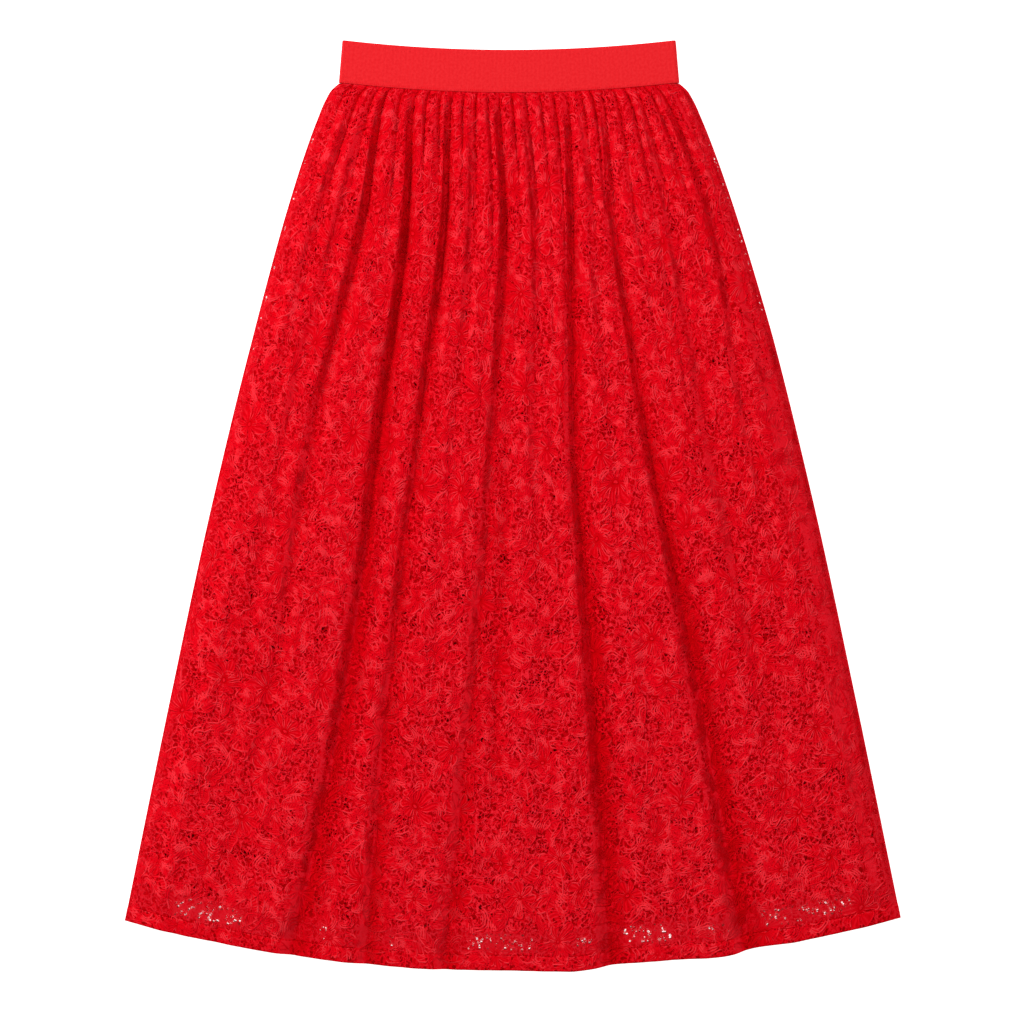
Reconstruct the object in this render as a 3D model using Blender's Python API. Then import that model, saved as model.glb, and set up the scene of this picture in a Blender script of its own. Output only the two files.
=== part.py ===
"""A-line maxi skirt in corded lace with a wide elastic waistband, laid flat with its front side up.

The origin is on the surface under the middle of the skirt. +X runs to the right across the front, +Y up
the skirt to the waistband and +Z up from the surface. Each layer of cloth is a wall of its own: back lace
panel, back lining, front lining and front lace panel, from the surface up, all sewn to one ring of elastic.
"""

import math
from collections import namedtuple

import bmesh
import bpy
import numpy as np

# Driving sizes, in metres
LENGTH = 0.956  # from the waistband's top corners to the lowest point of the hem
HEM_HALF = 0.399  # half the laid-out width at the hem's corners
WAIST_HALF = 0.1752  # half the laid-out width at the waist seam
BAND_TOP_HALF = 0.1715
BAND_HEIGHT = 0.0440
WAIST_SAG = 0.0100  # how far the waist seam dips in the middle of the front
HEM_SAG = 0.0520  # how far the hem drops from the level of its corners to its lowest point
WAIST_SHIFT = -0.0038  # the waist lies this far off the hem's middle
SHIFT_FADES = 0.26  # and is back on it this far down the side

LACE = 0.0012
LINING = 0.0010
ELASTIC = 0.0020
BAND_THICKNESS = 0.0066
SEAM_GAP = 0.0003
HEM_TURN_UP = 0.0150
HEM_EXTRA = 0.0010  # the turned-up hem is thicker by this
HEM_EDGE = 0.003  # and thickens over this share of the way down
LINING_INSET = 0.0120  # how far the lining's side seams lie inside the lace's
LINING_ABOVE_HEM = 0.0430
LACE_GAP = 0.0047  # the widest gaps between the lace's threads

STEEPEST = 1.2  # a wall gets no thicker where its slope passes this
SLOPE_STEP = 0.0015  # the share of the way across that a slope is measured over

TOP = LENGTH / 2
SEAM_SIDE = TOP - BAND_HEIGHT  # height of the waist seam at the side seams
HEM_SIDE = -TOP + HEM_SAG
SIDE_LENGTH = SEAM_SIDE - HEM_SIDE
LINING_END = 1 - LINING_ABOVE_HEM / (SIDE_LENGTH + HEM_SAG / 2)
HEM_START = 1 - HEM_TURN_UP / (SIDE_LENGTH + HEM_SAG / 2)

# The side outline: half the width of the laid-out panel at each distance down the side seam
Outline = namedtuple("Outline", "drop half_width")
OUTLINE = (
    Outline(0.000, WAIST_HALF),
    Outline(0.006, 0.1822),
    Outline(0.016, 0.1885),
    Outline(0.037, 0.1978),
    Outline(0.078, 0.2132),
    Outline(0.120, 0.2271),
    Outline(0.222, 0.2570),
    Outline(0.428, 0.3085),
    Outline(0.634, 0.3528),
    Outline(SIDE_LENGTH, HEM_HALF),
)

# The hem line: how far it lies below the level of its corners. It steps up beside the right side's deep folds.
HemPoint = namedtuple("HemPoint", "across drop")
HEM_LINE = (
    HemPoint(0.000, 0.0010),
    HemPoint(0.100, 0.0190),
    HemPoint(0.200, 0.0340),
    HemPoint(0.300, 0.0440),
    HemPoint(0.400, 0.0500),
    HemPoint(0.500, 0.0510),
    HemPoint(0.585, 0.0515),
    HemPoint(0.620, 0.0470),
    HemPoint(0.700, 0.0405),
    HemPoint(0.785, 0.0345),
    HemPoint(0.805, 0.0300),
    HemPoint(0.870, 0.0210),
    HemPoint(0.930, 0.0105),
    HemPoint(1.000, -0.0020),
)

# The front's long folds. Each valley runs down the skirt through these places across the panel (0 at its left
# edge, 1 at its right), at the shares of the way down in FOLD_STATIONS, and is this deep there, as a share of
# the puff of the cloth. The cloth stands steep on a valley's left and comes up slowly on its right, though
# near the waist its right side is steep too, past a wider floor.
FOLD_STATIONS = (0.0, 0.12, 0.35, 0.65, 1.0)
Fold = namedtuple("Fold", "name across depth")
FRONT_FOLDS = (
    Fold("left_edge", (0.086, 0.080, 0.072, 0.070, 0.070), (0.40, 0.50, 0.20, 0.15, 0.10)),
    Fold("left_panel", (0.124, 0.128, 0.108, 0.102, 0.094), (0.30, 0.30, 0.25, 0.28, 0.15)),
    Fold("left_outer", (0.154, 0.175, 0.155, 0.149, 0.118), (0.50, 0.75, 0.60, 0.45, 0.25)),
    Fold("left_main", (0.237, 0.267, 0.268, 0.257, 0.220), (0.60, 0.88, 0.95, 1.00, 0.95)),
    Fold("left_inner", (0.340, 0.355, 0.340, 0.320, 0.315), (0.60, 0.90, 0.75, 0.72, 0.80)),
    Fold("left_middle", (0.407, 0.420, 0.405, 0.385, 0.362), (0.30, 0.35, 0.22, 0.20, 0.20)),
    Fold("middle", (0.473, 0.489, 0.474, 0.447, 0.416), (0.60, 0.95, 0.65, 0.62, 0.70)),
    Fold("middle_branch", (0.508, 0.522, 0.500, 0.482, 0.470), (0.20, 0.15, 0.25, 0.50, 0.00)),
    Fold("right_middle", (0.547, 0.562, 0.548, 0.545, 0.530), (0.35, 0.35, 0.28, 0.30, 0.15)),
    Fold("right_inner", (0.667, 0.644, 0.617, 0.623, 0.630), (0.60, 0.90, 0.90, 0.95, 0.95)),
    Fold("right_panel", (0.706, 0.690, 0.678, 0.698, 0.715), (0.35, 0.30, 0.22, 0.25, 0.20)),
    Fold("right_main", (0.764, 0.737, 0.741, 0.776, 0.805), (0.50, 0.75, 0.85, 1.00, 0.95)),
    Fold("right_outer", (0.863, 0.860, 0.850, 0.868, 0.890), (0.30, 0.30, 0.50, 0.45, 0.25)),
    Fold("right_edge", (0.925, 0.947, 0.925, 0.930, 0.950), (0.50, 0.55, 0.30, 0.15, 0.10)),
)
FOLD_STEEP = (0.0045, 0.0080)  # width of a valley's steep side, at the waist and at the hem
FOLD_GENTLE = (0.0110, 0.0250)
STEEP_ROUNDING = 1.6  # powers that shape the two sides, higher for a wider floor
GENTLE_ROUNDING = (2.4, 1.2)  # at the waist, and from this share of the way down:
ROUNDING_FADES = 0.45
UNEVEN_PUFF = 0.08  # the puff differs by this share from one fold to the next
PUFF_WAVES = 23.0  # radians of that change across the waist
PUFF_DRIFT = 2.0  # and down the skirt

# The short gathers between the long folds, by the place of each small valley across the waist seam
SMALL_GATHERS = (0.043, 0.196, 0.269, 0.306, 0.372, 0.440, 0.588, 0.627, 0.735, 0.800, 0.833, 0.894, 0.962)
GATHER_LEAST = 0.64  # the lowest gather's height, as a share of the highest's
GATHER_STEP = 2.4  # radians from one gather's height to the next one's
GATHER_ROUNDING = 0.7

# How high the front stands above the layers under it, at each share of the way down
Height = namedtuple("Height", "down puff gather")
FRONT_HEIGHTS = (
    Height(0.000, 0.0000, 0.0012),
    Height(0.008, 0.0012, 0.0034),
    Height(0.020, 0.0032, 0.0044),
    Height(0.060, 0.0070, 0.0040),
    Height(0.130, 0.0092, 0.0028),
    Height(0.300, 0.0100, 0.0012),
    Height(0.600, 0.0098, 0.0004),
    Height(1.000, 0.0080, 0.0002),
)
EDGE_RISE = 0.040  # the front rises to its full height over this distance from a side seam
EDGE_LIFT = 0.008  # and clears the lining's edge over this one

# The back lies pressed on the surface, so its folds are narrow grooves in a flat underside
Groove = namedtuple("Groove", "across ends_at")
BACK_GROOVES = (
    Groove(0.060, 0.20), Groove(0.122, 0.95), Groove(0.186, 0.16), Groove(0.250, 1.00), Groove(0.325, 0.24),
    Groove(0.392, 0.90), Groove(0.452, 0.18), Groove(0.515, 1.00), Groove(0.568, 0.22), Groove(0.615, 0.92),
    Groove(0.676, 0.16), Groove(0.738, 0.60), Groove(0.800, 1.00), Groove(0.868, 0.20), Groove(0.935, 0.88),
)
GROOVE_FOOT = 0.0115  # half a groove's width as a share of the way across
GROOVE_FADE = 0.12  # a groove that ends above the hem fades over this share of the way down
Rise = namedtuple("Rise", "down height")
GROOVE_RISES = (
    Rise(0.00, 0.0003), Rise(0.05, 0.0012), Rise(0.15, 0.0018), Rise(0.60, 0.0014), Rise(1.00, 0.0010),
)
LAYER_MARGIN = 0.0001  # spare height over the grooves

# Rows of the pieces, as shares of the way down, and their columns, as shares of the way across
STRIP_START = LINING_END + 0.004  # the see-through strip runs from just below the lining to the turned-up hem
STRIP_ROWS = (STRIP_START, (STRIP_START + HEM_START) / 2, HEM_START, HEM_START + HEM_EDGE, 1.0)
FRONT_ROWS = (0.0, 0.008, 0.022, 0.045, 0.08, 0.13, 0.20, 0.28, 0.37, 0.46, 0.55, 0.64, 0.73, 0.82, 0.89)
BACK_ROWS = (0.0, 0.02, 0.05, 0.10, 0.16, 0.25, 0.37, 0.49, 0.61, 0.73, 0.84)
LINING_ROWS = (0.0, 0.02, 0.06, 0.16, 0.40, 0.70, LINING_END)
EDGE_COLUMNS = (0.012, 0.028)
GATHER_COLUMNS = (0.0, 0.2, 0.5, 0.8)  # shares of the way from one valley of the gathers to the next
LEAST_COLUMN = 0.004  # columns closer than this are one
LINING_COLUMNS = 16
BAND_SIDE_STEPS = 22
BAND_ROUND_STEPS = 5
BAND_ROWS = (0.0, 0.5, 1.0)

# The widest gaps in the lace: in the strip below the lining, where the surface shows, and one in each repeat
Patch = namedtuple("Patch", "start end")
STRIP_PATCHES = (
    Patch(0.055, 0.160), Patch(0.235, 0.262), Patch(0.325, 0.360), Patch(0.425, 0.560),
    Patch(0.640, 0.715), Patch(0.745, 0.790), Patch(0.815, 0.945),
)
REPEAT_ACROSS = 0.104
REPEAT_PLACES = (0.3, 0.7)  # where the gap is in a repeat, in even rows and in odd ones
FRONT_REPEAT_ROWS = (6, 8, 10, 12, 13)  # rows of cells with such gaps, counted from the waist
BACK_REPEAT_ROWS = (4, 6, 8, 10)

COLOURS = {"lace": "#D40F1F", "lining": "#A80613", "elastic": "#F0252D"}


def curve(at, places, values):
    """Reads values on a smooth curve through their places: a cubic in each stretch, with simple slopes."""
    places = np.asarray(places, float)
    values = np.asarray(values, float)
    slopes = np.gradient(values, places)
    index = np.clip(np.searchsorted(places, at, side="right") - 1, 0, len(places) - 2)
    step = places[index + 1] - places[index]
    share = (at - places[index]) / step
    left, right = values[index], values[index + 1]
    start = (1 - share) ** 2 * ((1 + 2 * share) * left + share * step * slopes[index])
    end = share**2 * ((3 - 2 * share) * right + (share - 1) * step * slopes[index + 1])
    return start + end


def smooth(share):
    """Rises from 0 to 1 with level ends."""
    share = np.clip(share, 0.0, 1.0)
    return share * share * (3 - 2 * share)


def seam_height(x):
    """Height of the waist seam in the plane of the skirt: a shallow arc that is lowest in the middle."""
    return SEAM_SIDE - WAIST_SAG * (1 - np.minimum(np.abs(x - WAIST_SHIFT) / BAND_TOP_HALF, 1.0) ** 2)


def hem_height(x):
    """Height of the hem in the plane of the skirt."""
    places, drops = zip(*HEM_LINE)
    across = np.clip((1 + x / HEM_HALF) / 2, 0.0, 1.0)
    return HEM_SIDE - np.minimum(curve(across, places, drops), HEM_SAG)


def outline(down):
    """Middle and half width of the laid-out panel at a share of the way down."""
    drop = np.clip(down, 0.0, 1.0) * SIDE_LENGTH
    drops, half_widths = zip(*OUTLINE)
    return WAIST_SHIFT * np.clip(1 - drop / SHIFT_FADES, 0.0, 1.0), curve(drop, drops, half_widths)


def lay_out(across, down):
    """The plane place of a point that is at a share of the way across the panel and of the way down it."""
    middle, half = outline(down)
    x = middle + (2 * across - 1) * half
    waist_middle, waist_half = outline(0.0)
    above = seam_height(waist_middle + (2 * across - 1) * waist_half) - SEAM_GAP
    below = hem_height((2 * across - 1) * HEM_HALF)
    return x, above + (below - above) * down


def follow_folds(thread, down):
    """Where a thread that starts at a place across the waist seam lies across the panel further down.

    The threads along the valleys of the long folds pass through the table's places, and the rest keep their
    share of the way between two of them.
    """
    starts = [0.0] + [fold.across[0] for fold in FRONT_FOLDS] + [1.0]
    lines = [np.zeros_like(down)]
    lines += [curve(down, FOLD_STATIONS, fold.across) for fold in FRONT_FOLDS]
    lines += [np.ones_like(down)]
    across = np.zeros_like(down)
    for left, right, line_left, line_right in zip(starts[:-1], starts[1:], lines[:-1], lines[1:]):
        inside = (thread >= left) & (thread <= right)
        share = (thread - left) / (right - left)
        across = np.where(inside, line_left + share * (line_right - line_left), across)
    return across


def valley_depth(across, down):
    """How far the long folds sink the front, from 0 on a crest to 1 on the layers below."""
    half = outline(down)[1]
    steep = FOLD_STEEP[0] + (FOLD_STEEP[1] - FOLD_STEEP[0]) * down
    gentle = FOLD_GENTLE[0] + (FOLD_GENTLE[1] - FOLD_GENTLE[0]) * down
    rounding = GENTLE_ROUNDING[0] + (GENTLE_ROUNDING[1] - GENTLE_ROUNDING[0]) * smooth(down / ROUNDING_FADES)
    crest = np.ones_like(across)
    for fold in FRONT_FOLDS:
        off = (across - curve(down, FOLD_STATIONS, fold.across)) * 2 * half
        left, right = np.abs(off / steep) ** STEEP_ROUNDING, np.abs(off / gentle) ** rounding
        sunk = curve(down, FOLD_STATIONS, fold.depth) * np.exp(-np.where(off < 0, left, right))
        crest = crest * (1 - sunk)
    return 1 - crest


def gather_crest(thread):
    """The gathers at the waist: a round crest between each two neighbouring valleys, with uneven heights."""
    valleys = np.array(gather_valleys())
    index = np.clip(np.searchsorted(valleys, thread, side="right") - 1, 0, len(valleys) - 2)
    share = (thread - valleys[index]) / (valleys[index + 1] - valleys[index])
    height = GATHER_LEAST + (1 - GATHER_LEAST) * (1 + np.sin(GATHER_STEP * index)) / 2
    return height * np.sin(np.pi * np.clip(share, 0.0, 1.0)) ** GATHER_ROUNDING


def gather_valleys():
    """All valleys across the waist seam, those of the long folds and the small ones, with the two edges."""
    long_folds = [fold.across[0] for fold in FRONT_FOLDS]
    return sorted([0.0, *SMALL_GATHERS, *long_folds, 1.0])


def from_edge(across, down):
    """Distance to the nearer side seam."""
    half = outline(down)[1]
    return np.minimum(across, 1 - across) * 2 * half


def hem_thickness(down):
    """What the turned-up hem adds to the wall."""
    return HEM_EXTRA * np.clip((down - HEM_START) / HEM_EDGE, 0.0, 1.0)


def groove_height(down):
    """Height of a groove in the back panel at a share of the way down."""
    places, heights = zip(*GROOVE_RISES)
    return np.interp(down, places, heights)


def lining_height(down, layer):
    """Underside of the back lining, layer 0, the front lining, layer 1, or what lies on them, layer 2."""
    return LACE + LAYER_MARGIN + groove_height(down) + SEAM_GAP + layer * (LINING + SEAM_GAP)


def front_floor(across, down):
    """The lowest the front lace can lie: on the lining, and past the lining's edges on the back panel."""
    at_edge = LACE + hem_thickness(down) + SEAM_GAP
    on_lining = lining_height(down, 2)
    at_hem = LACE + LAYER_MARGIN + HEM_EXTRA + groove_height(down) + SEAM_GAP
    past_lining = smooth((down - STRIP_START) / (HEM_START - STRIP_START))
    inner = on_lining + (at_hem - on_lining) * past_lining
    return at_edge + (inner - at_edge) * smooth(from_edge(across, down) / EDGE_LIFT)


def front_lift(thread, down):
    """How far the front lace stands above its lowest: the puff less the long valleys, plus the gathers."""
    places, puffs, gathers = zip(*FRONT_HEIGHTS)
    across = follow_folds(thread, down)
    uneven = 1 - UNEVEN_PUFF * (1 + np.sin(PUFF_WAVES * thread + PUFF_DRIFT * down)) / 2
    puff = curve(down, places, puffs) * uneven * (1 - valley_depth(across, down))
    gather = curve(down, places, gathers) * gather_crest(thread)
    return np.maximum(puff + gather, 0.0) * smooth(from_edge(across, down) / EDGE_RISE)


def front_wall(thread, down):
    """The front wall's thickness measured upwards, more where the cloth is steep, so that it stays even."""
    beside = np.clip(thread + SLOPE_STEP, 0.0, 1.0)
    run = lay_out(follow_folds(beside, down), down)[0] - lay_out(follow_folds(thread, down), down)[0]
    rise = front_lift(beside, down) - front_lift(thread, down)
    slope = np.clip(rise / np.maximum(run, SLOPE_STEP**2), -STEEPEST, STEEPEST)
    return LACE * np.sqrt(1 + slope**2) + hem_thickness(down)


def front_shape(thread, down, top):
    """Places a point of the front lace panel. Thread is its place across at the waist seam."""
    across = follow_folds(thread, down)
    x, y = lay_out(across, down)
    z = front_floor(across, down) + front_lift(thread, down)
    return np.stack([x, y, np.where(top, z + front_wall(thread, down), z)], axis=1)


def back_shape(across, down, top):
    """Places a point of the back lace panel: flat on the surface between its grooves."""
    x, y = lay_out(across, down)
    lift = np.zeros_like(across)
    for groove in BACK_GROOVES:
        off = np.abs(across - groove.across)
        fade = np.clip((groove.ends_at - down) / GROOVE_FADE, 0.0, 1.0) if groove.ends_at < 1 else 1.0
        lift = np.maximum(lift, np.clip(1 - off / GROOVE_FOOT, 0.0, 1.0) * fade)
    z = lift * groove_height(down)
    return np.stack([x, y, np.where(top, z + LACE + hem_thickness(down), z)], axis=1)


def lining_shape(layer):
    """Makes the function that places a point of the back lining, layer 0, or the front lining, layer 1."""

    def shape(share, down, top):
        inset = LINING_INSET / (2 * outline(down)[1])
        x, y = lay_out(inset + share * (1 - 2 * inset), down)
        z = lining_height(down, layer)
        return np.stack([x, y, np.where(top, z + LINING, z)], axis=1)

    return shape


def band_shape(around, up, outer):
    """Places a point of the waistband: a ring of elastic pressed flat, with round folds at the two sides."""
    half = WAIST_HALF + (BAND_TOP_HALF - WAIST_HALF) * up
    radius = (BAND_THICKNESS - ELASTIC) / 2
    straight = half - BAND_THICKNESS / 2
    bend = math.pi * radius
    half_way = 2 * straight + bend
    length = (around % 1.0) * 2 * half_way
    side = np.where(length < half_way, 1.0, -1.0)
    along = np.where(length < half_way, length, length - half_way)
    on_round = along > 2 * straight
    angle = np.where(on_round, (along - 2 * straight) / radius, 0.0)
    grow = np.where(outer, ELASTIC / 2, -ELASTIC / 2)
    reach = radius + grow
    x = np.where(on_round, straight + reach * np.sin(angle), along - straight)
    z = np.where(on_round, reach * np.cos(angle), reach)
    x = WAIST_SHIFT + side * x
    y = seam_height(x) + up * BAND_HEIGHT
    return np.stack([x, y, BAND_THICKNESS / 2 + side * z], axis=1)


def cloth_wall(name, across, down, shape, material, gaps=(), ring=False):
    """Builds a wall of cloth: a grid of cells over its two parameters, pierced, thickened and then shaped.

    gaps holds the cells that a gap in the lace goes through, as (row, column), and shape places the points.
    """
    mesh = bmesh.new()
    grid = [[mesh.verts.new((a, d, 0.0)) for a in across] for d in down]
    columns = len(across) if ring else len(across) - 1
    cells = {}
    for row in range(len(down) - 1):
        for column in range(columns):
            right = (column + 1) % len(across)
            corners = (grid[row][column], grid[row + 1][column], grid[row + 1][right], grid[row][right])
            cells[row, column] = mesh.faces.new(corners)
    pierce(mesh, [cells[gap] for gap in gaps], shape)
    thickened = bmesh.ops.extrude_face_region(mesh, geom=mesh.faces[:], use_keep_orig=True)
    for element in thickened["geom"]:
        if isinstance(element, bmesh.types.BMVert):
            element.co.z = 1.0
    flat = np.array([v.co for v in mesh.verts])
    placed = shape(flat[:, 0], flat[:, 1], flat[:, 2] > 0.5)
    for vertex, place in zip(mesh.verts, placed):
        vertex.co = place
    bmesh.ops.recalc_face_normals(mesh, faces=mesh.faces[:])
    data = bpy.data.meshes.new(name)
    mesh.to_mesh(data)
    mesh.free()
    data.shade_smooth()
    data.set_sharp_from_angle(angle=math.radians(50))
    data.materials.append(material)
    cloth = bpy.data.objects.new(name, data)
    bpy.context.scene.collection.objects.link(cloth)
    return cloth


def pierce(mesh, cells, shape):
    """Cuts a square gap of the lace's widest gap size in the middle of each of these cells."""
    if not cells:
        return
    bmesh.ops.inset_individual(mesh, faces=cells, thickness=0.0)
    for cell in cells:
        corners = np.array([v.co for v in cell.verts])
        middle = corners.mean(axis=0)
        near = np.stack([middle, middle + (SLOPE_STEP, 0, 0), middle + (0, SLOPE_STEP, 0)])
        place = shape(near[:, 0], near[:, 1], np.zeros(3, bool))[:, :2]
        per_metre = SLOPE_STEP / np.linalg.norm(place[1:] - place[0], axis=1)
        for vertex, corner in zip(cell.verts, corners):
            toward = np.sign(corner - middle)
            vertex.co.x = middle[0] + toward[0] * LACE_GAP / 2 * per_metre[0]
            vertex.co.y = middle[1] + toward[1] * LACE_GAP / 2 * per_metre[1]
    bmesh.ops.delete(mesh, geom=cells, context="FACES_ONLY")


def strip_gaps(columns, rows, across_at):
    """Cells of the strip below the lining that hold a gap: every second one inside the patches, staggered."""
    first = rows.index(STRIP_START)
    gaps = []
    for row in (first, first + 1):
        down = np.full(len(columns) - 1, (rows[row] + rows[row + 1]) / 2)
        middles = across_at((np.array(columns[:-1]) + columns[1:]) / 2, down)
        for column, middle in enumerate(middles):
            inside = any(patch.start < middle < patch.end for patch in STRIP_PATCHES)
            if inside and (row + column) % 2 == 0:
                gaps.append((row, column))
    return gaps


def repeat_gaps(columns, rows, repeat_rows, across_at):
    """Cells that hold the widest gap of each repeat of the lace, in staggered rows down the panel."""
    gaps = []
    for order, row in enumerate(repeat_rows):
        down = np.full(len(columns) - 1, (rows[row] + rows[row + 1]) / 2)
        middles = across_at((np.array(columns[:-1]) + columns[1:]) / 2, down)
        count = int(2 * outline(down[0])[1] / REPEAT_ACROSS)
        for repeat in range(count):
            wanted = (repeat + REPEAT_PLACES[order % 2]) / count
            gaps.append((row, int(np.argmin(np.abs(middles - wanted)))))
    return gaps


def lace_gaps(columns, rows, repeat_rows, across_at):
    """All cells of a lace panel that a gap goes through."""
    strip = strip_gaps(columns, rows, across_at)
    return sorted(set(strip + repeat_gaps(columns, rows, repeat_rows, across_at)))


def front_columns():
    """Columns of the front panel: the gathers' valleys, crests and flanks, and two by each edge."""
    valleys = gather_valleys()
    columns = set(EDGE_COLUMNS) | {1 - place for place in EDGE_COLUMNS} | {1.0}
    for left, right in zip(valleys[:-1], valleys[1:]):
        columns |= {left + share * (right - left) for share in GATHER_COLUMNS}
    return thinned(columns)


def back_columns():
    """Columns of the back panel: each groove's two feet and ridge, and one between each two grooves."""
    columns = {0.0, 1.0}
    for groove in BACK_GROOVES:
        columns |= {groove.across - GROOVE_FOOT, groove.across, groove.across + GROOVE_FOOT}
    for left, right in zip(BACK_GROOVES[:-1], BACK_GROOVES[1:]):
        columns.add((left.across + right.across) / 2)
    return thinned(columns)


def thinned(columns):
    """The columns in order, without those that nearly meet the one before, and with the last on the edge."""
    kept = []
    for place in sorted(columns):
        if not kept or place - kept[-1] > LEAST_COLUMN:
            kept.append(place)
    kept[-1] = 1.0
    return kept


def band_columns():
    """Points around the waistband: even steps along each face, and close ones round each side fold."""
    straight = 2 * (WAIST_HALF - BAND_THICKNESS / 2)
    bend = math.pi * (BAND_THICKNESS - ELASTIC) / 2
    half_way = straight + bend
    one_side = [straight * step / BAND_SIDE_STEPS for step in range(BAND_SIDE_STEPS)]
    one_side += [straight + bend * step / BAND_ROUND_STEPS for step in range(BAND_ROUND_STEPS)]
    return [(side * half_way + place) / (2 * half_way) for side in (0, 1) for place in one_side]


def cloth_material(name, colour, roughness):
    """A woven or knitted cloth: no metal, little shine. The colour is a hex value in sRGB."""
    material = bpy.data.materials.new(name)
    material.use_nodes = True
    shader = material.node_tree.nodes["Principled BSDF"]
    channels = [int(colour[start:start + 2], 16) / 255 for start in (1, 3, 5)]
    linear = [c / 12.92 if c <= 0.04045 else ((c + 0.055) / 1.055) ** 2.4 for c in channels]
    shader.inputs["Base Color"].default_value = (*linear, 1.0)
    shader.inputs["Roughness"].default_value = roughness
    shader.inputs["Metallic"].default_value = 0.0
    return material


def build_skirt():
    """Builds the skirt's five pieces from the surface up."""
    lace = cloth_material("corded_lace", COLOURS["lace"], 0.85)
    lining = cloth_material("lining_cloth", COLOURS["lining"], 0.70)
    elastic = cloth_material("waist_elastic", COLOURS["elastic"], 0.75)

    columns, rows = back_columns(), BACK_ROWS + STRIP_ROWS
    gaps = lace_gaps(columns, rows, BACK_REPEAT_ROWS, lambda across, down: across)
    cloth_wall("lace_back", columns, rows, back_shape, lace, gaps)

    shares = [step / LINING_COLUMNS for step in range(LINING_COLUMNS + 1)]
    cloth_wall("lining_back", shares, LINING_ROWS, lining_shape(0), lining)
    cloth_wall("lining_front", shares, LINING_ROWS, lining_shape(1), lining)

    columns, rows = front_columns(), FRONT_ROWS + STRIP_ROWS
    gaps = lace_gaps(columns, rows, FRONT_REPEAT_ROWS, follow_folds)
    cloth_wall("lace_front", columns, rows, front_shape, lace, gaps)

    cloth_wall("waistband", band_columns(), BAND_ROWS, band_shape, elastic, ring=True)


for leftover in list(bpy.data.objects):
    bpy.data.objects.remove(leftover, do_unlink=True)
build_skirt()
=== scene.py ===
"""The looks of an A-line maxi skirt in corded floral lace, laid flat under a soft studio light.

Every surface is a function of two numbers: the thread, which is a point's place across the waist seam from 0
to 1, and down, its share of the way from the waist seam to the hem. All lengths are in metres. A pair named
edge is where something starts and where it is whole. A pair named relief is a height's swing and its lowest.
"""

import sys
import logging
import math
from dataclasses import dataclass, field
from enum import Enum

import bpy
import numpy as np
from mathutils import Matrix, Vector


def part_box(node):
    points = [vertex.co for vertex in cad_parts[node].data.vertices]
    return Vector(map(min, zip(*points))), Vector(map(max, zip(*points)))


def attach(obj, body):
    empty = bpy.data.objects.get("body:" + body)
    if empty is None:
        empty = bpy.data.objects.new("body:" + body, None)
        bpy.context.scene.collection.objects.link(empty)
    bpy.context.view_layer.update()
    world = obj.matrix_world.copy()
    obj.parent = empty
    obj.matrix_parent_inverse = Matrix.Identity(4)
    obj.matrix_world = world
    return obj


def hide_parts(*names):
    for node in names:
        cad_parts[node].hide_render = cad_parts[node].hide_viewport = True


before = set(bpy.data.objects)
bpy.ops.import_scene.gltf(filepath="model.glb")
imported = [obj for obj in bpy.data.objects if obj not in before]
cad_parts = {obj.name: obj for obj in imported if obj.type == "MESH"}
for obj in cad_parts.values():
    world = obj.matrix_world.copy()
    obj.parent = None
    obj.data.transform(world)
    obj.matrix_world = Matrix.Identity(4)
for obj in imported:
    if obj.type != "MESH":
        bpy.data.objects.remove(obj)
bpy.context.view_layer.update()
BAND_LOW, BAND_HIGH = (np.array(corner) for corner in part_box("waistband"))
LACE_LOW, LACE_HIGH = (np.array(corner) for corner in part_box("lace_back"))

LOG = logging.getLogger("skirt")
Array = np.ndarray
Pair = tuple[float, float]
Socket = bpy.types.NodeSocket
# Cords by points by two on the flat cloth, and which of their points show
Cords = tuple[Array, Array]

LACE_WALL = 0.0012
LINING_WALL = 0.0010
FACE_GAP = 0.0001
# Shapes of a petal and of a leaf, which the cords and the lace share
PETAL_POWER = 0.35
LOPSIDED = 0.22
LEAF_WIDTH, LEAF_TAPER = 1.1, 0.45
VEIN_STARTS = (0.15, 0.38, 0.60)
VEIN_REACH = (0.17, 0.78)
VEIN_LEAN = round(VEIN_REACH[0] / VEIN_REACH[1], 3)
# A wave texture's scale times half a wave's length
WAVE_SCALE = 0.16


class Tone(Enum):
    """Colours in sRGB, as hex values."""

    # This tone and the next are painted shade between the threads.
    LACE_GAP_SHADE = "#940003"
    LACE_LOW = "#C20008"
    LACE = "#E00213"
    # A painted highlight on the tops of the cords.
    LACE_HIGH = "#F02433"
    # The cord's red, made lighter and pinker as a painted highlight.
    CORD_WITH_HIGHLIGHT = "#F4303C"
    CORD_DIM = "#E4071B"
    # Painted shade on cords in the folds and on slopes that face away from the key light.
    CORD_SHADE = "#C2010A"
    LINING = "#C80418"
    LINING_SHEEN = "#E0081E"
    ELASTIC = "#EC252B"
    ELASTIC_RIB = "#E41A22"
    FLOOR = "#F4F4F4"


def linear(tone: Tone) -> tuple[float, float, float, float]:
    """Turns an sRGB hex colour into the linear values that shaders use.

    Args:
        tone: the colour.

    Returns:
        Red, green, blue and alpha.
    """
    channels = [int(tone.value[start:start + 2], 16) / 255 for start in (1, 3, 5)]
    red, green, blue = [c / 12.92 if c <= 0.04045 else ((c + 0.055) / 1.055) ** 2.4 for c in channels]
    return red, green, blue, 1.0


def smooth(share: Array) -> Array:
    """Rises from 0 to 1 with level ends: 3 s^2 - 2 s^3.

    Args:
        share: the place on the rise, clipped to 0 and 1.

    Returns:
        The height there.
    """
    share = np.clip(share, 0.0, 1.0)
    return share * share * (3 - 2 * share)


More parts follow.
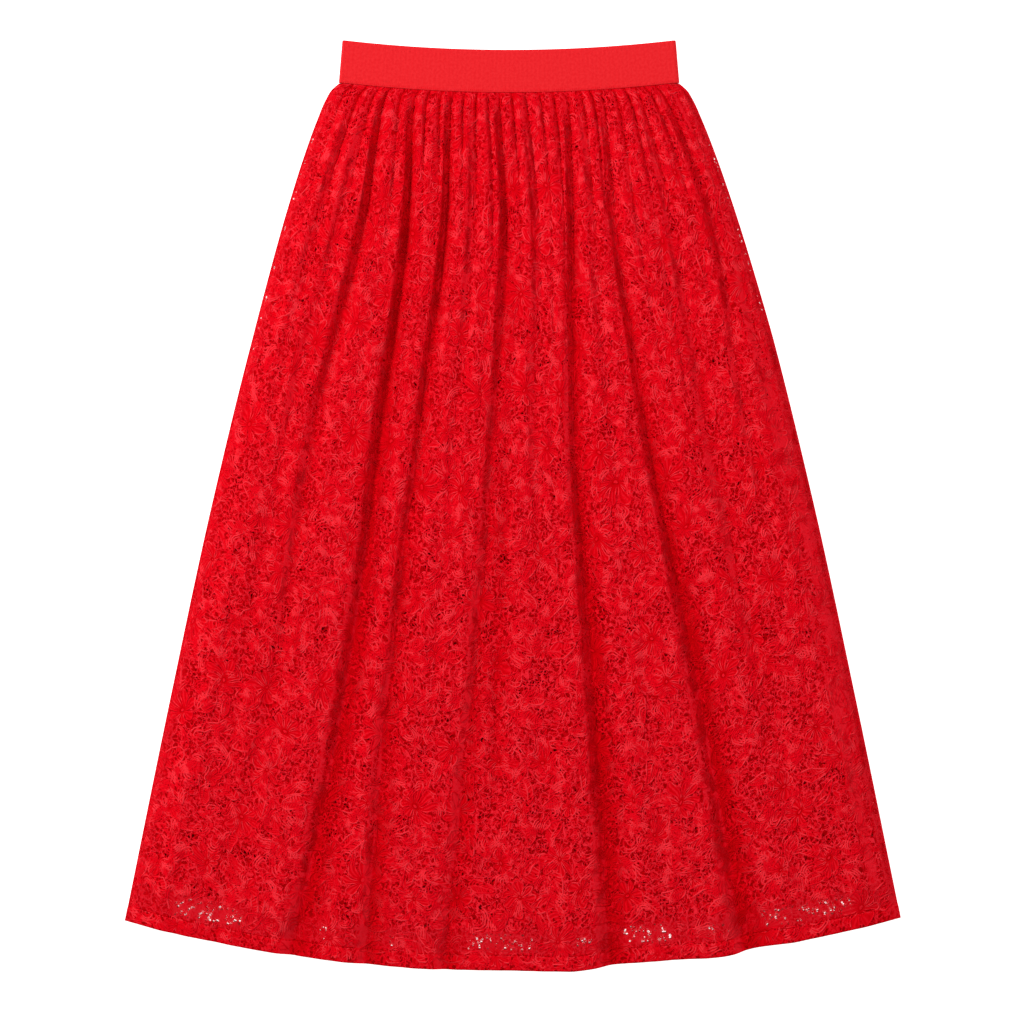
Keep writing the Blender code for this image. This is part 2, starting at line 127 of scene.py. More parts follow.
def curve(at: Array, places: tuple[float, ...], values: tuple[float, ...]) -> Array:
    """Reads values on a smooth curve: a cubic in each stretch, whose end slopes are finite differences.

    Args:
        at: where to read.
        places: where the values hold.
        values: the values.

    Returns:
        The values at those places.
    """
    x, y = np.asarray(places, float), np.asarray(values, float)
    slopes = np.gradient(y, x)
    index = np.clip(np.searchsorted(x, at, side="right") - 1, 0, len(x) - 2)
    step = x[index + 1] - x[index]
    s = (at - x[index]) / step
    start = (1 + 2 * s) * (1 - s) ** 2 * y[index] + s * (1 - s) ** 2 * step * slopes[index]
    return start + s**2 * (3 - 2 * s) * y[index + 1] + s**2 * (s - 1) * step * slopes[index + 1]


def sampled(table: Array, row: Array, column: Array) -> Array:
    """Reads a table between its rows and columns: the four nearest values, weighted by nearness.

    Args:
        table: rows by columns of numbers.
        row: places down the table, from 0 to 1.
        column: places across it, from 0 to 1.

    Returns:
        The values there.
    """
    r = np.clip(row, 0, 1) * (table.shape[0] - 1)
    c = np.clip(column, 0, 1) * (table.shape[1] - 1)
    i, j = np.minimum(r.astype(int), table.shape[0] - 2), np.minimum(c.astype(int), table.shape[1] - 2)
    a, b = r - i, c - j
    upper = table[i, j] * (1 - b) + table[i, j + 1] * b
    lower = table[i + 1, j] * (1 - b) + table[i + 1, j + 1] * b
    return upper * (1 - a) + lower * a


@dataclass(frozen=True)
class Fold:
    """A long fold: where its valley lies across the panel at each station, and its depth there."""

    across: tuple[float, ...]
    depth: tuple[float, ...]


@dataclass(frozen=True)
class Patch:
    """A stretch across the panel where the holes of the lace let the ground show."""

    start: float
    end: float
    strength: float = 1.0


@dataclass(frozen=True)
class Cut:
    """The skirt's laid-out outline, shared by all its layers."""

    length: float = float(BAND_HIGH[1] - LACE_LOW[1])
    hem_half: float = float(LACE_HIGH[0] - LACE_LOW[0]) / 2
    waist_half: float = 0.1752
    band_top_half: float = 0.1715
    band_height: float = 0.0440
    waist_sag: float = 0.0100
    hem_sag: float = 0.0520
    waist_shift: float = -0.0038
    shift_fades: float = 0.26
    seam_gap: float = 0.0003
    drops: tuple[float, ...] = (0.0, 0.006, 0.016, 0.037, 0.078, 0.120, 0.222, 0.428, 0.634)
    half_widths: tuple[float, ...] = (0.1752, 0.1822, 0.1885, 0.1978, 0.2132, 0.2271, 0.2570, 0.3085, 0.3528)
    hem_places: tuple[float, ...] = (
        0.0, 0.1, 0.2, 0.3, 0.4, 0.5, 0.585, 0.62, 0.7, 0.785, 0.805, 0.87, 0.93, 1.0,
    )
    hem_drops: tuple[float, ...] = (
        0.0010, 0.0190, 0.0340, 0.0440, 0.0500, 0.0510, 0.0515, 0.0470, 0.0405, 0.0345, 0.0300, 0.0210,
        0.0105, -0.0020,
    )
    lining_inset: float = 0.0120
    lining_above_hem: float = 0.0430
    hem_turn_up: float = 0.0150
    hem_step: float = 0.003
    crease: float = 0.0013

    @property
    def top(self) -> float:
        """Height of the waistband's top corners in the plane of the skirt."""
        return self.length / 2

    @property
    def seam_side(self) -> float:
        """Height of the waist seam at the side seams."""
        return self.top - self.band_height

    @property
    def hem_side(self) -> float:
        """Height of the hem at the side seams."""
        return self.hem_sag - self.top

    @property
    def side_length(self) -> float:
        """Length of the side seams along Y."""
        return self.seam_side - self.hem_side

    @property
    def lining_end(self) -> float:
        """The share of the way down where the lining ends."""
        return 1 - self.lining_above_hem / (self.side_length + self.hem_sag / 2)

    @property
    def hem_start(self) -> float:
        """The share of the way down where the turned-up hem starts."""
        return 1 - self.hem_turn_up / (self.side_length + self.hem_sag / 2)

    def creased(self, down: Array) -> Array:
        """1 along the hem's stitching and along its lower edge, falling to 0 within a millimetre or so."""
        stitched = 1 - np.abs(down - self.hem_start) / self.crease
        return np.clip(np.maximum(stitched, (down - 1 + self.crease) / self.crease), 0, 1)

    def doubled(self, down: Array) -> Array:
        """1 where the hem is turned up, so that the lace is double, and 0 above."""
        return smooth((down - self.hem_start) / self.hem_step)

    def thickened(self, down: Array) -> Array:
        """Rises straight from 0 to 1 at the turned-up hem's upper edge."""
        return np.clip((down - self.hem_start) / self.hem_step, 0, 1)

    def seam_height(self, x: Array) -> Array:
        """Height of the waist seam: a parabola that is lowest in the middle.

        Args:
            x: places across.

        Returns:
            Y of the seam there.
        """
        off = np.minimum(np.abs(x - self.waist_shift) / self.band_top_half, 1.0)
        return self.seam_side - self.waist_sag * (1 - off**2)

    def hem_height(self, x: Array) -> Array:
        """Height of the hem, which sags to the middle and steps up beside the right side's deep folds.

        Args:
            x: places across.

        Returns:
            Y of the hem there.
        """
        across = np.clip((1 + x / self.hem_half) / 2, 0, 1)
        return self.hem_side - np.minimum(curve(across, self.hem_places, self.hem_drops), self.hem_sag)

    def outline(self, down: Array) -> tuple[Array, Array]:
        """The laid-out panel's middle and half width.

        Args:
            down: shares of the way down.

        Returns:
            The two, at those places.
        """
        drop = np.clip(down, 0, 1) * self.side_length
        half = curve(drop, self.drops + (self.side_length,), self.half_widths + (self.hem_half,))
        return self.waist_shift * np.clip(1 - drop / self.shift_fades, 0, 1), half

    def lay_out(self, across: Array, down: Array) -> tuple[Array, Array]:
        """The plane place of a point: across scales the half width, and down runs from seam to hem.

        Args:
            across: shares of the way across.
            down: shares of the way down.

        Returns:
            X and Y.
        """
        middle, half = self.outline(down)
        waist_middle, waist_half = self.outline(np.zeros(1))
        above = self.seam_height(waist_middle + (2 * across - 1) * waist_half) - self.seam_gap
        below = self.hem_height((2 * across - 1) * self.hem_half)
        return middle + (2 * across - 1) * half, above + (below - above) * down

    def from_edge(self, across: Array, down: Array) -> Array:
        """Distance to the nearer side seam."""
        return np.minimum(across, 1 - across) * 2 * self.outline(down)[1]


CUT = Cut()


@dataclass(frozen=True)
class FrontDrape:
    """How the front lace panel lies: gathers at the waist run out into long folds, each steep on its left."""

    stations: tuple[float, ...] = (0.0, 0.12, 0.35, 0.65, 1.0)
    folds: tuple[Fold, ...] = (
        Fold((0.086, 0.080, 0.072, 0.070, 0.070), (0.40, 0.50, 0.20, 0.15, 0.10)),
        Fold((0.124, 0.128, 0.108, 0.102, 0.094), (0.30, 0.30, 0.25, 0.28, 0.15)),
        Fold((0.154, 0.175, 0.155, 0.149, 0.118), (0.50, 0.75, 0.60, 0.45, 0.25)),
        Fold((0.237, 0.267, 0.268, 0.257, 0.220), (0.60, 0.88, 0.95, 1.00, 0.95)),
        Fold((0.340, 0.355, 0.340, 0.320, 0.315), (0.60, 0.90, 0.75, 0.72, 0.80)),
        Fold((0.407, 0.420, 0.405, 0.385, 0.362), (0.30, 0.35, 0.22, 0.20, 0.20)),
        Fold((0.473, 0.489, 0.474, 0.447, 0.416), (0.50, 0.80, 0.60, 0.62, 0.70)),
        Fold((0.508, 0.522, 0.500, 0.482, 0.470), (0.20, 0.15, 0.25, 0.50, 0.00)),
        Fold((0.547, 0.562, 0.548, 0.545, 0.530), (0.35, 0.35, 0.28, 0.30, 0.15)),
        Fold((0.667, 0.644, 0.617, 0.623, 0.630), (0.45, 0.72, 0.84, 0.95, 0.95)),
        Fold((0.706, 0.690, 0.678, 0.698, 0.715), (0.35, 0.30, 0.22, 0.25, 0.20)),
        Fold((0.764, 0.737, 0.741, 0.776, 0.805), (0.40, 0.55, 0.74, 0.95, 0.95)),
        Fold((0.863, 0.860, 0.850, 0.868, 0.890), (0.30, 0.30, 0.50, 0.45, 0.25)),
        Fold((0.925, 0.947, 0.925, 0.930, 0.950), (0.50, 0.55, 0.30, 0.15, 0.10)),
    )
    small_gathers: tuple[float, ...] = (
        0.043, 0.196, 0.269, 0.306, 0.372, 0.440, 0.588, 0.627, 0.735, 0.800, 0.833, 0.894, 0.962)
    steep: Pair = (0.0040, 0.0115)
    gentle: Pair = (0.0092, 0.0275)
    steep_rounding: Pair = (3.4, 2.0)
    gentle_rounding: Pair = (2.6, 1.45)
    rounding_over: float = 0.45
    height_places: tuple[float, ...] = (0.0, 0.008, 0.020, 0.060, 0.130, 0.300, 0.600, 1.0)
    puffs: tuple[float, ...] = (0.0, 0.0012, 0.0032, 0.0070, 0.0092, 0.0100, 0.0098, 0.0080)
    gathers: tuple[float, ...] = (0.0012, 0.0034, 0.0044, 0.0040, 0.0028, 0.0012, 0.0004, 0.0002)
    uneven_puff: float = 0.08
    puff_waves: Pair = (23, 2)
    uneven_gather: Pair = (0.18, 2.4)
    gather_power: float = 0.6
    edge_rise: float = 0.040
    edge_lift: float = 0.008
    lean: float = 0.0070
    lean_reach: float = 0.016
    lean_starts: float = 0.06
    lean_loss: float = 0.6
    lean_loss_over: Pair = (0.35, 0.4)
    ripple: float = 0.00035
    ripple_waves: tuple[tuple[float, float, float], ...] = ((131, 9, 0.0), (217, -17, 1.3), (40, 61, 0.0))
    ripple_starts: float = 0.1
    ripple_lowest: float = -0.0003
    # Painted shade: where it starts and grows whole on the sinking folds, and the narrow slits of it between
    # gathers near the waist.
    shade_over: Pair = (0.25, 0.65)
    slit: float = 0.0015
    slit_places: tuple[float, ...] = (0.0, 0.035, 0.08, 0.14, 1.0)
    slits: tuple[float, ...] = (1.8, 0.9, 0.25, 0.0, 0.0)
    uneven_slit: Pair = (0.35, 2.1)
    wall: float = 0.0010
    hem_extra: float = 0.0010

    def valleys(self) -> Array:
        """All valleys across the waist seam, with the two edges, in order."""
        long_folds = [fold.across[0] for fold in self.folds]
        return np.array(sorted([0.0, *self.small_gathers, *long_folds, 1.0]))

    def across(self, thread: Array, down: Array) -> Array:
        """Where a thread lies across the panel further down.

        The threads along the long valleys pass through the folds' places. Each other thread keeps its share
        of the way between the two valleys beside it.

        Args:
            thread: places across the waist seam.
            down: shares of the way down.

        Returns:
            Shares of the way across.
        """
        starts = [0.0] + [fold.across[0] for fold in self.folds] + [1.0]
        lines = [np.zeros_like(down)]
        lines += [curve(down, self.stations, fold.across) for fold in self.folds]
        lines += [np.ones_like(down)]
        across = np.zeros_like(down)
        for left, right, line_left, line_right in zip(starts[:-1], starts[1:], lines[:-1], lines[1:]):
            share = (thread - left) / (right - left)
            inside = (share >= 0) & (share <= 1)
            across = np.where(inside, line_left + share * (line_right - line_left), across)
        return across

    def valley(self, across: Array, down: Array) -> tuple[Array, Array]:
        """How far the long folds sink the cloth, and how far their steep sides lean over the valleys.

        A valley's depth is exp(-(distance / width) ^ power), narrow on its left and wide on its right. The
        powers fall on the way down. What is left of the crest is the product of one minus each depth.

        Args:
            across: shares of the way across.
            down: shares of the way down.

        Returns:
            The share sunk, and the lean in metres.
        """
        half = CUT.outline(down)[1]
        steep = self.steep[0] + (self.steep[1] - self.steep[0]) * down
        gentle = self.gentle[0] + (self.gentle[1] - self.gentle[0]) * down
        further = smooth(down / self.rounding_over)
        left_power = self.steep_rounding[0] + (self.steep_rounding[1] - self.steep_rounding[0]) * further
        right_power = self.gentle_rounding[0] + (self.gentle_rounding[1] - self.gentle_rounding[0]) * further
        crest, lean = np.ones_like(across), np.zeros_like(across)
        for fold in self.folds:
            off = (across - curve(down, self.stations, fold.across)) * 2 * half + self.lean_at(down) / 2
            depth = curve(down, self.stations, fold.depth)
            left = np.abs(off / steep) ** left_power
            right = np.abs(off / gentle) ** right_power
            crest = crest * (1 - depth * np.exp(-np.where(off < 0, left, right)))
            lean = lean + np.where(off < 0, depth**2 * np.exp(off / self.lean_reach), 0.0)
        return 1 - crest, self.lean_at(down) * lean * smooth(down / self.lean_starts) * crest

    def lean_at(self, down: Array) -> Array:
        """How far the steepest sides lean over: less towards the hem, where the folds open out."""
        first, over = self.lean_loss_over
        return self.lean * (1 - self.lean_loss * smooth((down - first) / over))

    def deep(self, thread: Array, down: Array) -> Array:
        """How little light falls: 1 on the floor of a long fold or between two gathers, and 0 on the crests.

        Args:
            thread: places across the waist seam.
            down: shares of the way down.

        Returns:
            The shade.
        """
        valleys = self.valleys()[1:-1]
        after = np.clip(np.searchsorted(valleys, thread), 1, len(valleys) - 1)
        nearest = np.where(thread - valleys[after - 1] < valleys[after] - thread, after - 1, after)
        off = (thread - valleys[nearest]) * 2 * CUT.waist_half
        slit = np.exp(-(off / self.slit) ** 2) * np.interp(down, self.slit_places, self.slits)
        swing, pace = self.uneven_slit
        slit = slit * (1 - swing + swing * np.sin(pace * nearest))
        sunk, _ = self.valley(self.across(thread, down), down)
        first, over = self.shade_over
        return np.maximum(smooth((sunk - first) / over), slit)

    def gather(self, thread: Array) -> Array:
        """The gathers at the waist: a rounded half wave between each two valleys, with uneven heights.

        Args:
            thread: places across the waist seam.

        Returns:
            Heights, in shares of the tallest gather's.
        """
        valleys = self.valleys()
        index = np.clip(np.searchsorted(valleys, thread, side="right") - 1, 0, len(valleys) - 2)
        share = (thread - valleys[index]) / (valleys[index + 1] - valleys[index])
        swing, pace = self.uneven_gather
        height = 1 - swing + swing * np.sin(pace * index)
        return height * np.sin(np.pi * np.clip(share, 0, 1)) ** self.gather_power

    def floor(self, across: Array, down: Array) -> Array:
        """The lowest that the panel can lie: on the lining, and on the back panel past the lining's edges."""
        at_edge = LACE_WALL + self.hem_thickness(down) + CUT.seam_gap
        on_lining = lining_height(down, 2)
        at_hem = LACE_WALL + FACE_GAP + self.hem_extra + groove_height(down) + CUT.seam_gap
        past = smooth((down - CUT.lining_end) / (CUT.hem_start - CUT.lining_end))
        inner = on_lining + (at_hem - on_lining) * past
        return at_edge + (inner - at_edge) * smooth(CUT.from_edge(across, down) / self.edge_lift)

    def hem_thickness(self, down: Array) -> Array:
        """What the turned-up hem adds to the wall."""
        return self.hem_extra * CUT.thickened(down)

    def place(self, thread: Array, down: Array, outer: bool) -> Array:
        """A point of the panel: the floor, plus the puff less the valleys, the gathers and a slight ripple.

        Args:
            thread: places across the waist seam.
            down: shares of the way down.
            outer: whether the point is on the upper face.

        Returns:
            Points, one row of three for each place.
        """
        across = self.across(thread, down)
        x, y = CUT.lay_out(across, down)
        sunk, lean = self.valley(across, down)
        puff = curve(down, self.height_places, self.puffs)
        swell = np.sin(self.puff_waves[0] * thread + self.puff_waves[1] * down)
        puff = puff * (1 - self.uneven_puff * (1 + swell) / 2)
        gather = curve(down, self.height_places, self.gathers) * self.gather(thread)
        rise = smooth(CUT.from_edge(across, down) / self.edge_rise)
        waves = sum(np.sin(aside * across + along * down + at) for aside, along, at in self.ripple_waves)
        ripple = self.ripple * waves * smooth(down / self.ripple_starts) * rise
        z = self.floor(across, down) + np.maximum(puff * (1 - sunk) + gather, 0) * rise
        z = z + np.maximum(ripple, self.ripple_lowest)
        extra = self.hem_thickness(down)
        z = z + LACE_WALL + extra if outer else z + LACE_WALL - self.wall
        return np.stack([x + lean * rise, y, z], axis=-1)


def groove_height(down: Array) -> Array:
    """Height of the back panel's ridges: straight runs between a few heights down the skirt."""
    return np.interp(down, (0.0, 0.05, 0.15, 0.60, 1.0), (0.0003, 0.0012, 0.0018, 0.0014, 0.0010))


def lining_height(down: Array, layer: int) -> Array:
    """Underside of the back lining, layer 0, the front lining, layer 1, or what lies on them, layer 2."""
    on_back = LACE_WALL + FACE_GAP + groove_height(down) + CUT.seam_gap
    return on_back + layer * (LINING_WALL + CUT.seam_gap)


@dataclass(frozen=True)
class BackDrape:
    """How the back lace panel lies: pressed flat on the surface, with its folds as narrow grooves beneath.

    Each groove is a place across and the share of the way down where it ends.
    """

    grooves: tuple[Pair, ...] = (
        (0.060, 0.20), (0.122, 0.95), (0.186, 0.16), (0.250, 1.00), (0.325, 0.24), (0.392, 0.90),
        (0.452, 0.18), (0.515, 1.00), (0.568, 0.22), (0.615, 0.92), (0.676, 0.16), (0.738, 0.60),
        (0.800, 1.00), (0.868, 0.20), (0.935, 0.88))
    foot: float = 0.0115
    fade: float = 0.12
    hem_extra: float = 0.0010

    def across(self, thread: Array, down: Array) -> Array:
        """Where a thread lies across the panel further down: at the same share."""
        return thread

    def deep(self, thread: Array, down: Array) -> Array:
        """0, since no deep fold shades the pressed panel."""
        return np.zeros_like(thread)

    def place(self, thread: Array, down: Array, outer: bool) -> Array:
        """A point of the panel: height 0 between the grooves, and a round ridge over each.

        Args:
            thread: shares of the way across.
            down: shares of the way down.
            outer: whether the point is on the upper face.

        Returns:
            Points, one row of three for each place.
        """
        x, y = CUT.lay_out(thread, down)
        lift = np.zeros_like(thread)
        for across, ends_at in self.grooves:
            shape = smooth(1 - np.abs(thread - across) / self.foot)
            fade = np.clip((ends_at - down) / self.fade, 0, 1) if ends_at < 1 else 1.0
            lift = np.maximum(lift, shape * fade)
        z = lift * groove_height(down)
        thick = LACE_WALL + self.hem_extra * CUT.thickened(down)
        return np.stack([x, y, z + thick if outer else z], axis=-1)


@dataclass(frozen=True)
class LiningDrape:
    """How a lining panel lies: level between the lace panels, inside their side seams."""

    layer: int
    clear: float = 0.0002
    thin: float = 0.6

    def place(self, thread: Array, down: Array, outer: bool) -> Array:
        """A point of the lining, whose down runs from 0 at the waist seam to 1 at its own hem.

        Args:
            thread: shares of the way across the lining.
            down: shares of the way down the lining.
            outer: whether the point is on the upper face.

        Returns:
            Points, one row of three for each place.
        """
        at = down * CUT.lining_end
        inset = CUT.lining_inset / (2 * CUT.outline(at)[1])
        x, y = CUT.lay_out(inset + thread * (1 - 2 * inset), at)
        z = lining_height(at, self.layer) + self.clear
        return np.stack([x, y, z + LINING_WALL * self.thin if outer else z], axis=-1)


Drape = FrontDrape | BackDrape | LiningDrape


@dataclass
class ClothMap:
    """The flat cut of a panel, and the way between a point's place on it and its place on the draped panel.

    The flat cut is a trapezium. A row's threads are spread over its width in proportion to their arc length.
    """

    drape: Drape
    waist_width: float
    hem_width: float
    rows: int = 81
    columns: int = 1401
    inside_across: Pair = (0.004, 0.996)
    inside_down: Pair = (0.002, 0.997)
    shares: Array = field(init=False)
    threads: Array = field(init=False)
    flat_length: float = field(init=False)

    def __post_init__(self) -> None:
        """Measures the arc lengths along the rows and turns the table of them round."""
        thread = np.linspace(0, 1, self.columns)
        down = np.linspace(0, 1, self.rows)
        points = self.drape.place(*np.meshgrid(thread, down), True)
        steps = np.linalg.norm(np.diff(points, axis=1), axis=2)
        along = np.concatenate([np.zeros((self.rows, 1)), np.cumsum(steps, axis=1)], axis=1)
        self.shares = along / along[:, -1:]
        even = np.linspace(0, 1, self.columns)
        self.threads = np.stack([np.interp(even, row, thread) for row in self.shares])
        middle = points[:, self.columns // 2]
        self.flat_length = float(np.linalg.norm(np.diff(middle, axis=0), axis=1).sum())

    def width(self, down: Array) -> Array:
        """Width of the flat cut: a straight run from the waist to the hem."""
        return self.waist_width + (self.hem_width - self.waist_width) * down

    def flat(self, thread: Array, down: Array) -> tuple[Array, Array]:
        """The place on the flat cut of a point of the draped panel.

        Args:
            thread: places across the waist seam.
            down: shares of the way down.

        Returns:
            The distance right of the middle and the distance below the waist seam.
        """
        share = sampled(self.shares, down, thread)
        return (share - 0.5) * self.width(down), down * self.flat_length

    def draped(self, right: Array, below: Array) -> tuple[Array, Array, Array]:
        """The place on the draped panel of a point of the flat cut.

        Args:
            right: distances right of the middle.
            below: distances below the waist seam.

        Returns:
            The thread, the share down, and whether the point is on the cut at all.
        """
        down = below / self.flat_length
        share = right / self.width(down) + 0.5
        inside = (share > self.inside_across[0]) & (share < self.inside_across[1])
        inside = inside & (down > self.inside_down[0]) & (down < self.inside_down[1])
        return sampled(self.threads, down, share), np.clip(down, 0, 1), inside


def new_mesh(name: str, points: Array, faces: Array, smooth_faces: bool = True) -> bpy.types.Object:
    """Makes an object at the origin from whole arrays of points and of faces with the same number of corners.

    Args:
        name: the piece's name.
        points: one row of three for each vertex.
        faces: one row of vertex numbers for each face.
        smooth_faces: whether the faces are shaded smooth.

    Returns:
        The object, linked to the scene.
    """
    mesh = bpy.data.meshes.new(name)
    corners = faces.shape[1]
    mesh.vertices.add(len(points))
    mesh.vertices.foreach_set("co", np.ascontiguousarray(points, np.float32).ravel())
    mesh.loops.add(faces.size)
    mesh.loops.foreach_set("vertex_index", np.ascontiguousarray(faces, np.int32).ravel())
    mesh.polygons.add(len(faces))
    mesh.polygons.foreach_set("loop_start", np.arange(0, faces.size, corners, dtype=np.int32))
    mesh.update(calc_edges=True)
    mesh.polygons.foreach_set("use_smooth", np.full(len(faces), smooth_faces))
    piece = bpy.data.objects.new(name, mesh)
    bpy.context.scene.collection.objects.link(piece)
    return piece


def set_uv(piece: bpy.types.Object, flat: Array) -> None:
    """Gives a piece the UV map "cloth" from one flat place for each vertex.

    Args:
        piece: the piece.
        flat: one row of two for each vertex, in metres.
    """
    mesh = piece.data
    corner = np.empty(len(mesh.loops), np.int32)
    mesh.loops.foreach_get("vertex_index", corner)
    layer = mesh.uv_layers.new(name="cloth")
    layer.data.foreach_set("uv", np.ascontiguousarray(flat[corner], np.float32).ravel())


def set_numbers(piece: bpy.types.Object, name: str, values: Array) -> None:
    """Gives a piece a named number for each vertex."""
    attribute = piece.data.attributes.new(name, "FLOAT", "POINT")
    attribute.data.foreach_set("value", np.ascontiguousarray(values, np.float32).ravel())


def set_places(piece: bpy.types.Object, name: str, values: Array) -> None:
    """Gives a piece a named vector for each corner of each face, where all the faces have four corners."""
    attribute = piece.data.attributes.new(name, "FLOAT_VECTOR", "CORNER")
    attribute.data.foreach_set("vector", np.ascontiguousarray(values, np.float32).ravel())


def flat_corners(piece: bpy.types.Object) -> Array:
    """The flat place of each corner of each face of a piece: faces by corners by two."""
    flat = np.empty(len(piece.data.loops) * 2, np.float32)
    piece.data.uv_layers["cloth"].data.foreach_get("uv", flat)
    return flat.reshape(len(piece.data.polygons), -1, 2).astype(float)


def grid_faces(rows: int, columns: int, first: int = 0, flip: bool = False) -> Array:
    """Four-cornered faces over a grid of vertices that are numbered row by row.

    Args:
        rows: rows of vertices.
        columns: columns of vertices.
        first: number of the first vertex.
        flip: whether the faces wind the other way.

    Returns:
        One row of four vertex numbers for each face.
    """
    index = first + np.arange(rows * columns).reshape(rows, columns)
    quad = np.stack([index[:-1, :-1], index[1:, :-1], index[1:, 1:], index[:-1, 1:]], axis=-1).reshape(-1, 4)
    return quad[:, ::-1] if flip else quad


def rim_faces(rows: int, columns: int) -> Array:
    """Faces that close the rim between two grids, of which the second is numbered after the first.

    Args:
        rows: rows of vertices.
        columns: columns of vertices.

    Returns:
        One row of four vertex numbers for each face, which points outwards.
    """
    index = np.arange(rows * columns).reshape(rows, columns)
    loop = np.concatenate([index[0, :-1], index[:-1, -1], index[-1, :0:-1], index[:0:-1, 0]])
    after = np.roll(loop, -1)
    lower = rows * columns
    return np.stack([loop + lower, after + lower, after, loop], axis=1)


@dataclass(frozen=True)
class SeeThrough:
    """Where the ground shows through both lace panels: in patches above the hem and along the side seams."""

    patches: tuple[Patch, ...] = (
        Patch(0.055, 0.150, 1.0), Patch(0.240, 0.262, 0.5), Patch(0.330, 0.352, 0.5),
        Patch(0.435, 0.530, 0.6), Patch(0.575, 0.610, 0.4), Patch(0.640, 0.715, 0.8),
        Patch(0.745, 0.790, 0.4), Patch(0.820, 0.945, 0.6),
    )
    strip_margins: Pair = (0.004, 0.002)
    strip_fade: float = 0.004
    hem_fade: float = 0.003
    soft: float = 0.008
    side_strength: float = 0.46
    side_from_edge: Pair = (0.0012, 0.0058)
    side_fades: Pair = (0.0010, 0.0020)
    side_down: Pair = (0.03, 0.50)
    side_down_fades: Pair = (0.03, 0.20)
    lining_fade: float = 0.002

    def strength(self, across: Array, down: Array) -> Array:
        """How open the lace is, from 0 to 1, in the strip's patches and in a narrow band by each side.

        Args:
            across: shares of the way across.
            down: shares of the way down.

        Returns:
            The openness at each place.
        """
        start, end = CUT.lining_end + self.strip_margins[0], CUT.hem_start - self.strip_margins[1]
        strip = smooth((down - start) / self.strip_fade) * smooth((end - down) / self.strip_fade)
        patch = np.zeros_like(across)
        for stretch in self.patches:
            inside = smooth((across - stretch.start) / self.soft) * smooth((stretch.end - across) / self.soft)
            patch = np.maximum(patch, inside * stretch.strength)
        edge = CUT.from_edge(across, down)
        side = self.window(edge, self.side_from_edge, self.side_fades)
        side = side * self.window(down, self.side_down, self.side_down_fades)
        return np.maximum(strip * patch, self.side_strength * side)

    @staticmethod
    def window(at: Array, ends: Pair, fades: Pair) -> Array:
        """1 between two ends, falling to 0 at each over its own fade."""
        return smooth((at - ends[0]) / fades[0]) * smooth((ends[1] - at) / fades[1])

    def unlined(self, across: Array, down: Array) -> Array:
        """1 where the lace has no lining under it, falling to 0 over a few millimetres."""
        below = self.window(down, (CUT.lining_end, CUT.hem_start), (self.strip_fade, self.hem_fade))
        beside = smooth((CUT.lining_inset - CUT.from_edge(across, down)) / self.lining_fade)
        return np.maximum(below, beside)


@dataclass
class ClothPanel:
    """A panel of cloth as a closed thin shell: an upper grid, a lower grid and a rim."""

    name: str
    node: str
    cloth: ClothMap
    columns: Array
    rows: Array
    sharp: float = 60
    overhang: float = 9.0
    flank_over: Pair = (0.45, 0.6)
    lip_between: Pair = (0.22, 0.60)
    lip_fades: Pair = (0.12, 0.12)
    edging_between: Pair = (0.10, 0.60)
    edging_fades: Pair = (0.12, 0.25)

    def build(self) -> bpy.types.Object:
        """Makes the shell and its UV map.

        Returns:
            The piece, which rides on the part's only body in place of its node.
        """
        thread, down = np.meshgrid(self.columns, self.rows)
        upper = self.cloth.drape.place(thread, down, True).reshape(-1, 3)
        lower = self.cloth.drape.place(thread, down, False).reshape(-1, 3)
        rows, columns = thread.shape
        faces = np.concatenate([
            grid_faces(rows, columns),
            grid_faces(rows, columns, rows * columns, flip=True),
            rim_faces(rows, columns),
        ])
        piece = new_mesh(self.name, np.concatenate([upper, lower]), faces)
        piece.data.set_sharp_from_angle(angle=math.radians(self.sharp))
        flat = np.stack(self.cloth.flat(thread, down), axis=-1).reshape(-1, 2)
        set_uv(piece, np.tile(flat, (2, 1)))
        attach(piece, "root")
        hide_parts(self.node)
        return piece

    def mark(self, piece: bpy.types.Object, see: SeeThrough) -> None:
        """Stores where a lace panel is open, unlined, doubled, creased and given painted shade, and how its
        folds slope.

        The flank is a fold's side that falls steeply to the right, the lip is the smooth line above it, which
        gets a painted highlight, and the edging is the other slopes at the edges of the ridges.

        Args:
            piece: the panel's piece.
            see: where the ground shows through.
        """
        thread, down = np.meshgrid(self.columns, self.rows)
        across = self.cloth.drape.across(thread, down)
        unlined = see.unlined(across, down)
        points = self.cloth.drape.place(thread, down, True)
        right, up = np.gradient(points[..., 0], axis=1), np.gradient(points[..., 2], axis=1)
        least = 1e-5
        falls = np.where(right > least, -up / np.maximum(right, least), np.where(up < 0, self.overhang, 0.0))
        slope = np.abs(up) / np.maximum(np.abs(right), least)
        lip = see.window(falls, self.lip_between, self.lip_fades)
        numbers = {
            "see_through": see.strength(across, down),
            "unlined": unlined,
            "net_open": (1 - unlined) * (1 - CUT.doubled(down)),
            "doubled": CUT.doubled(down),
            "below": np.full_like(down, float(self.node == "lace_back")),
            "creased": CUT.creased(down),
            "flank": smooth((falls - self.flank_over[0]) / self.flank_over[1]),
            "edging": see.window(slope, self.edging_between, self.edging_fades) * (1 - lip),
            "lip": lip,
            "deep": self.cloth.drape.deep(thread, down),
        }
        for name, values in numbers.items():
            set_numbers(piece, name, np.tile(values.ravel(), 2))


def headed(angle: Array) -> Array:
    """Vectors of length 1 in the plane, from their angles."""
    return np.stack([np.cos(angle), np.sin(angle)], axis=-1)


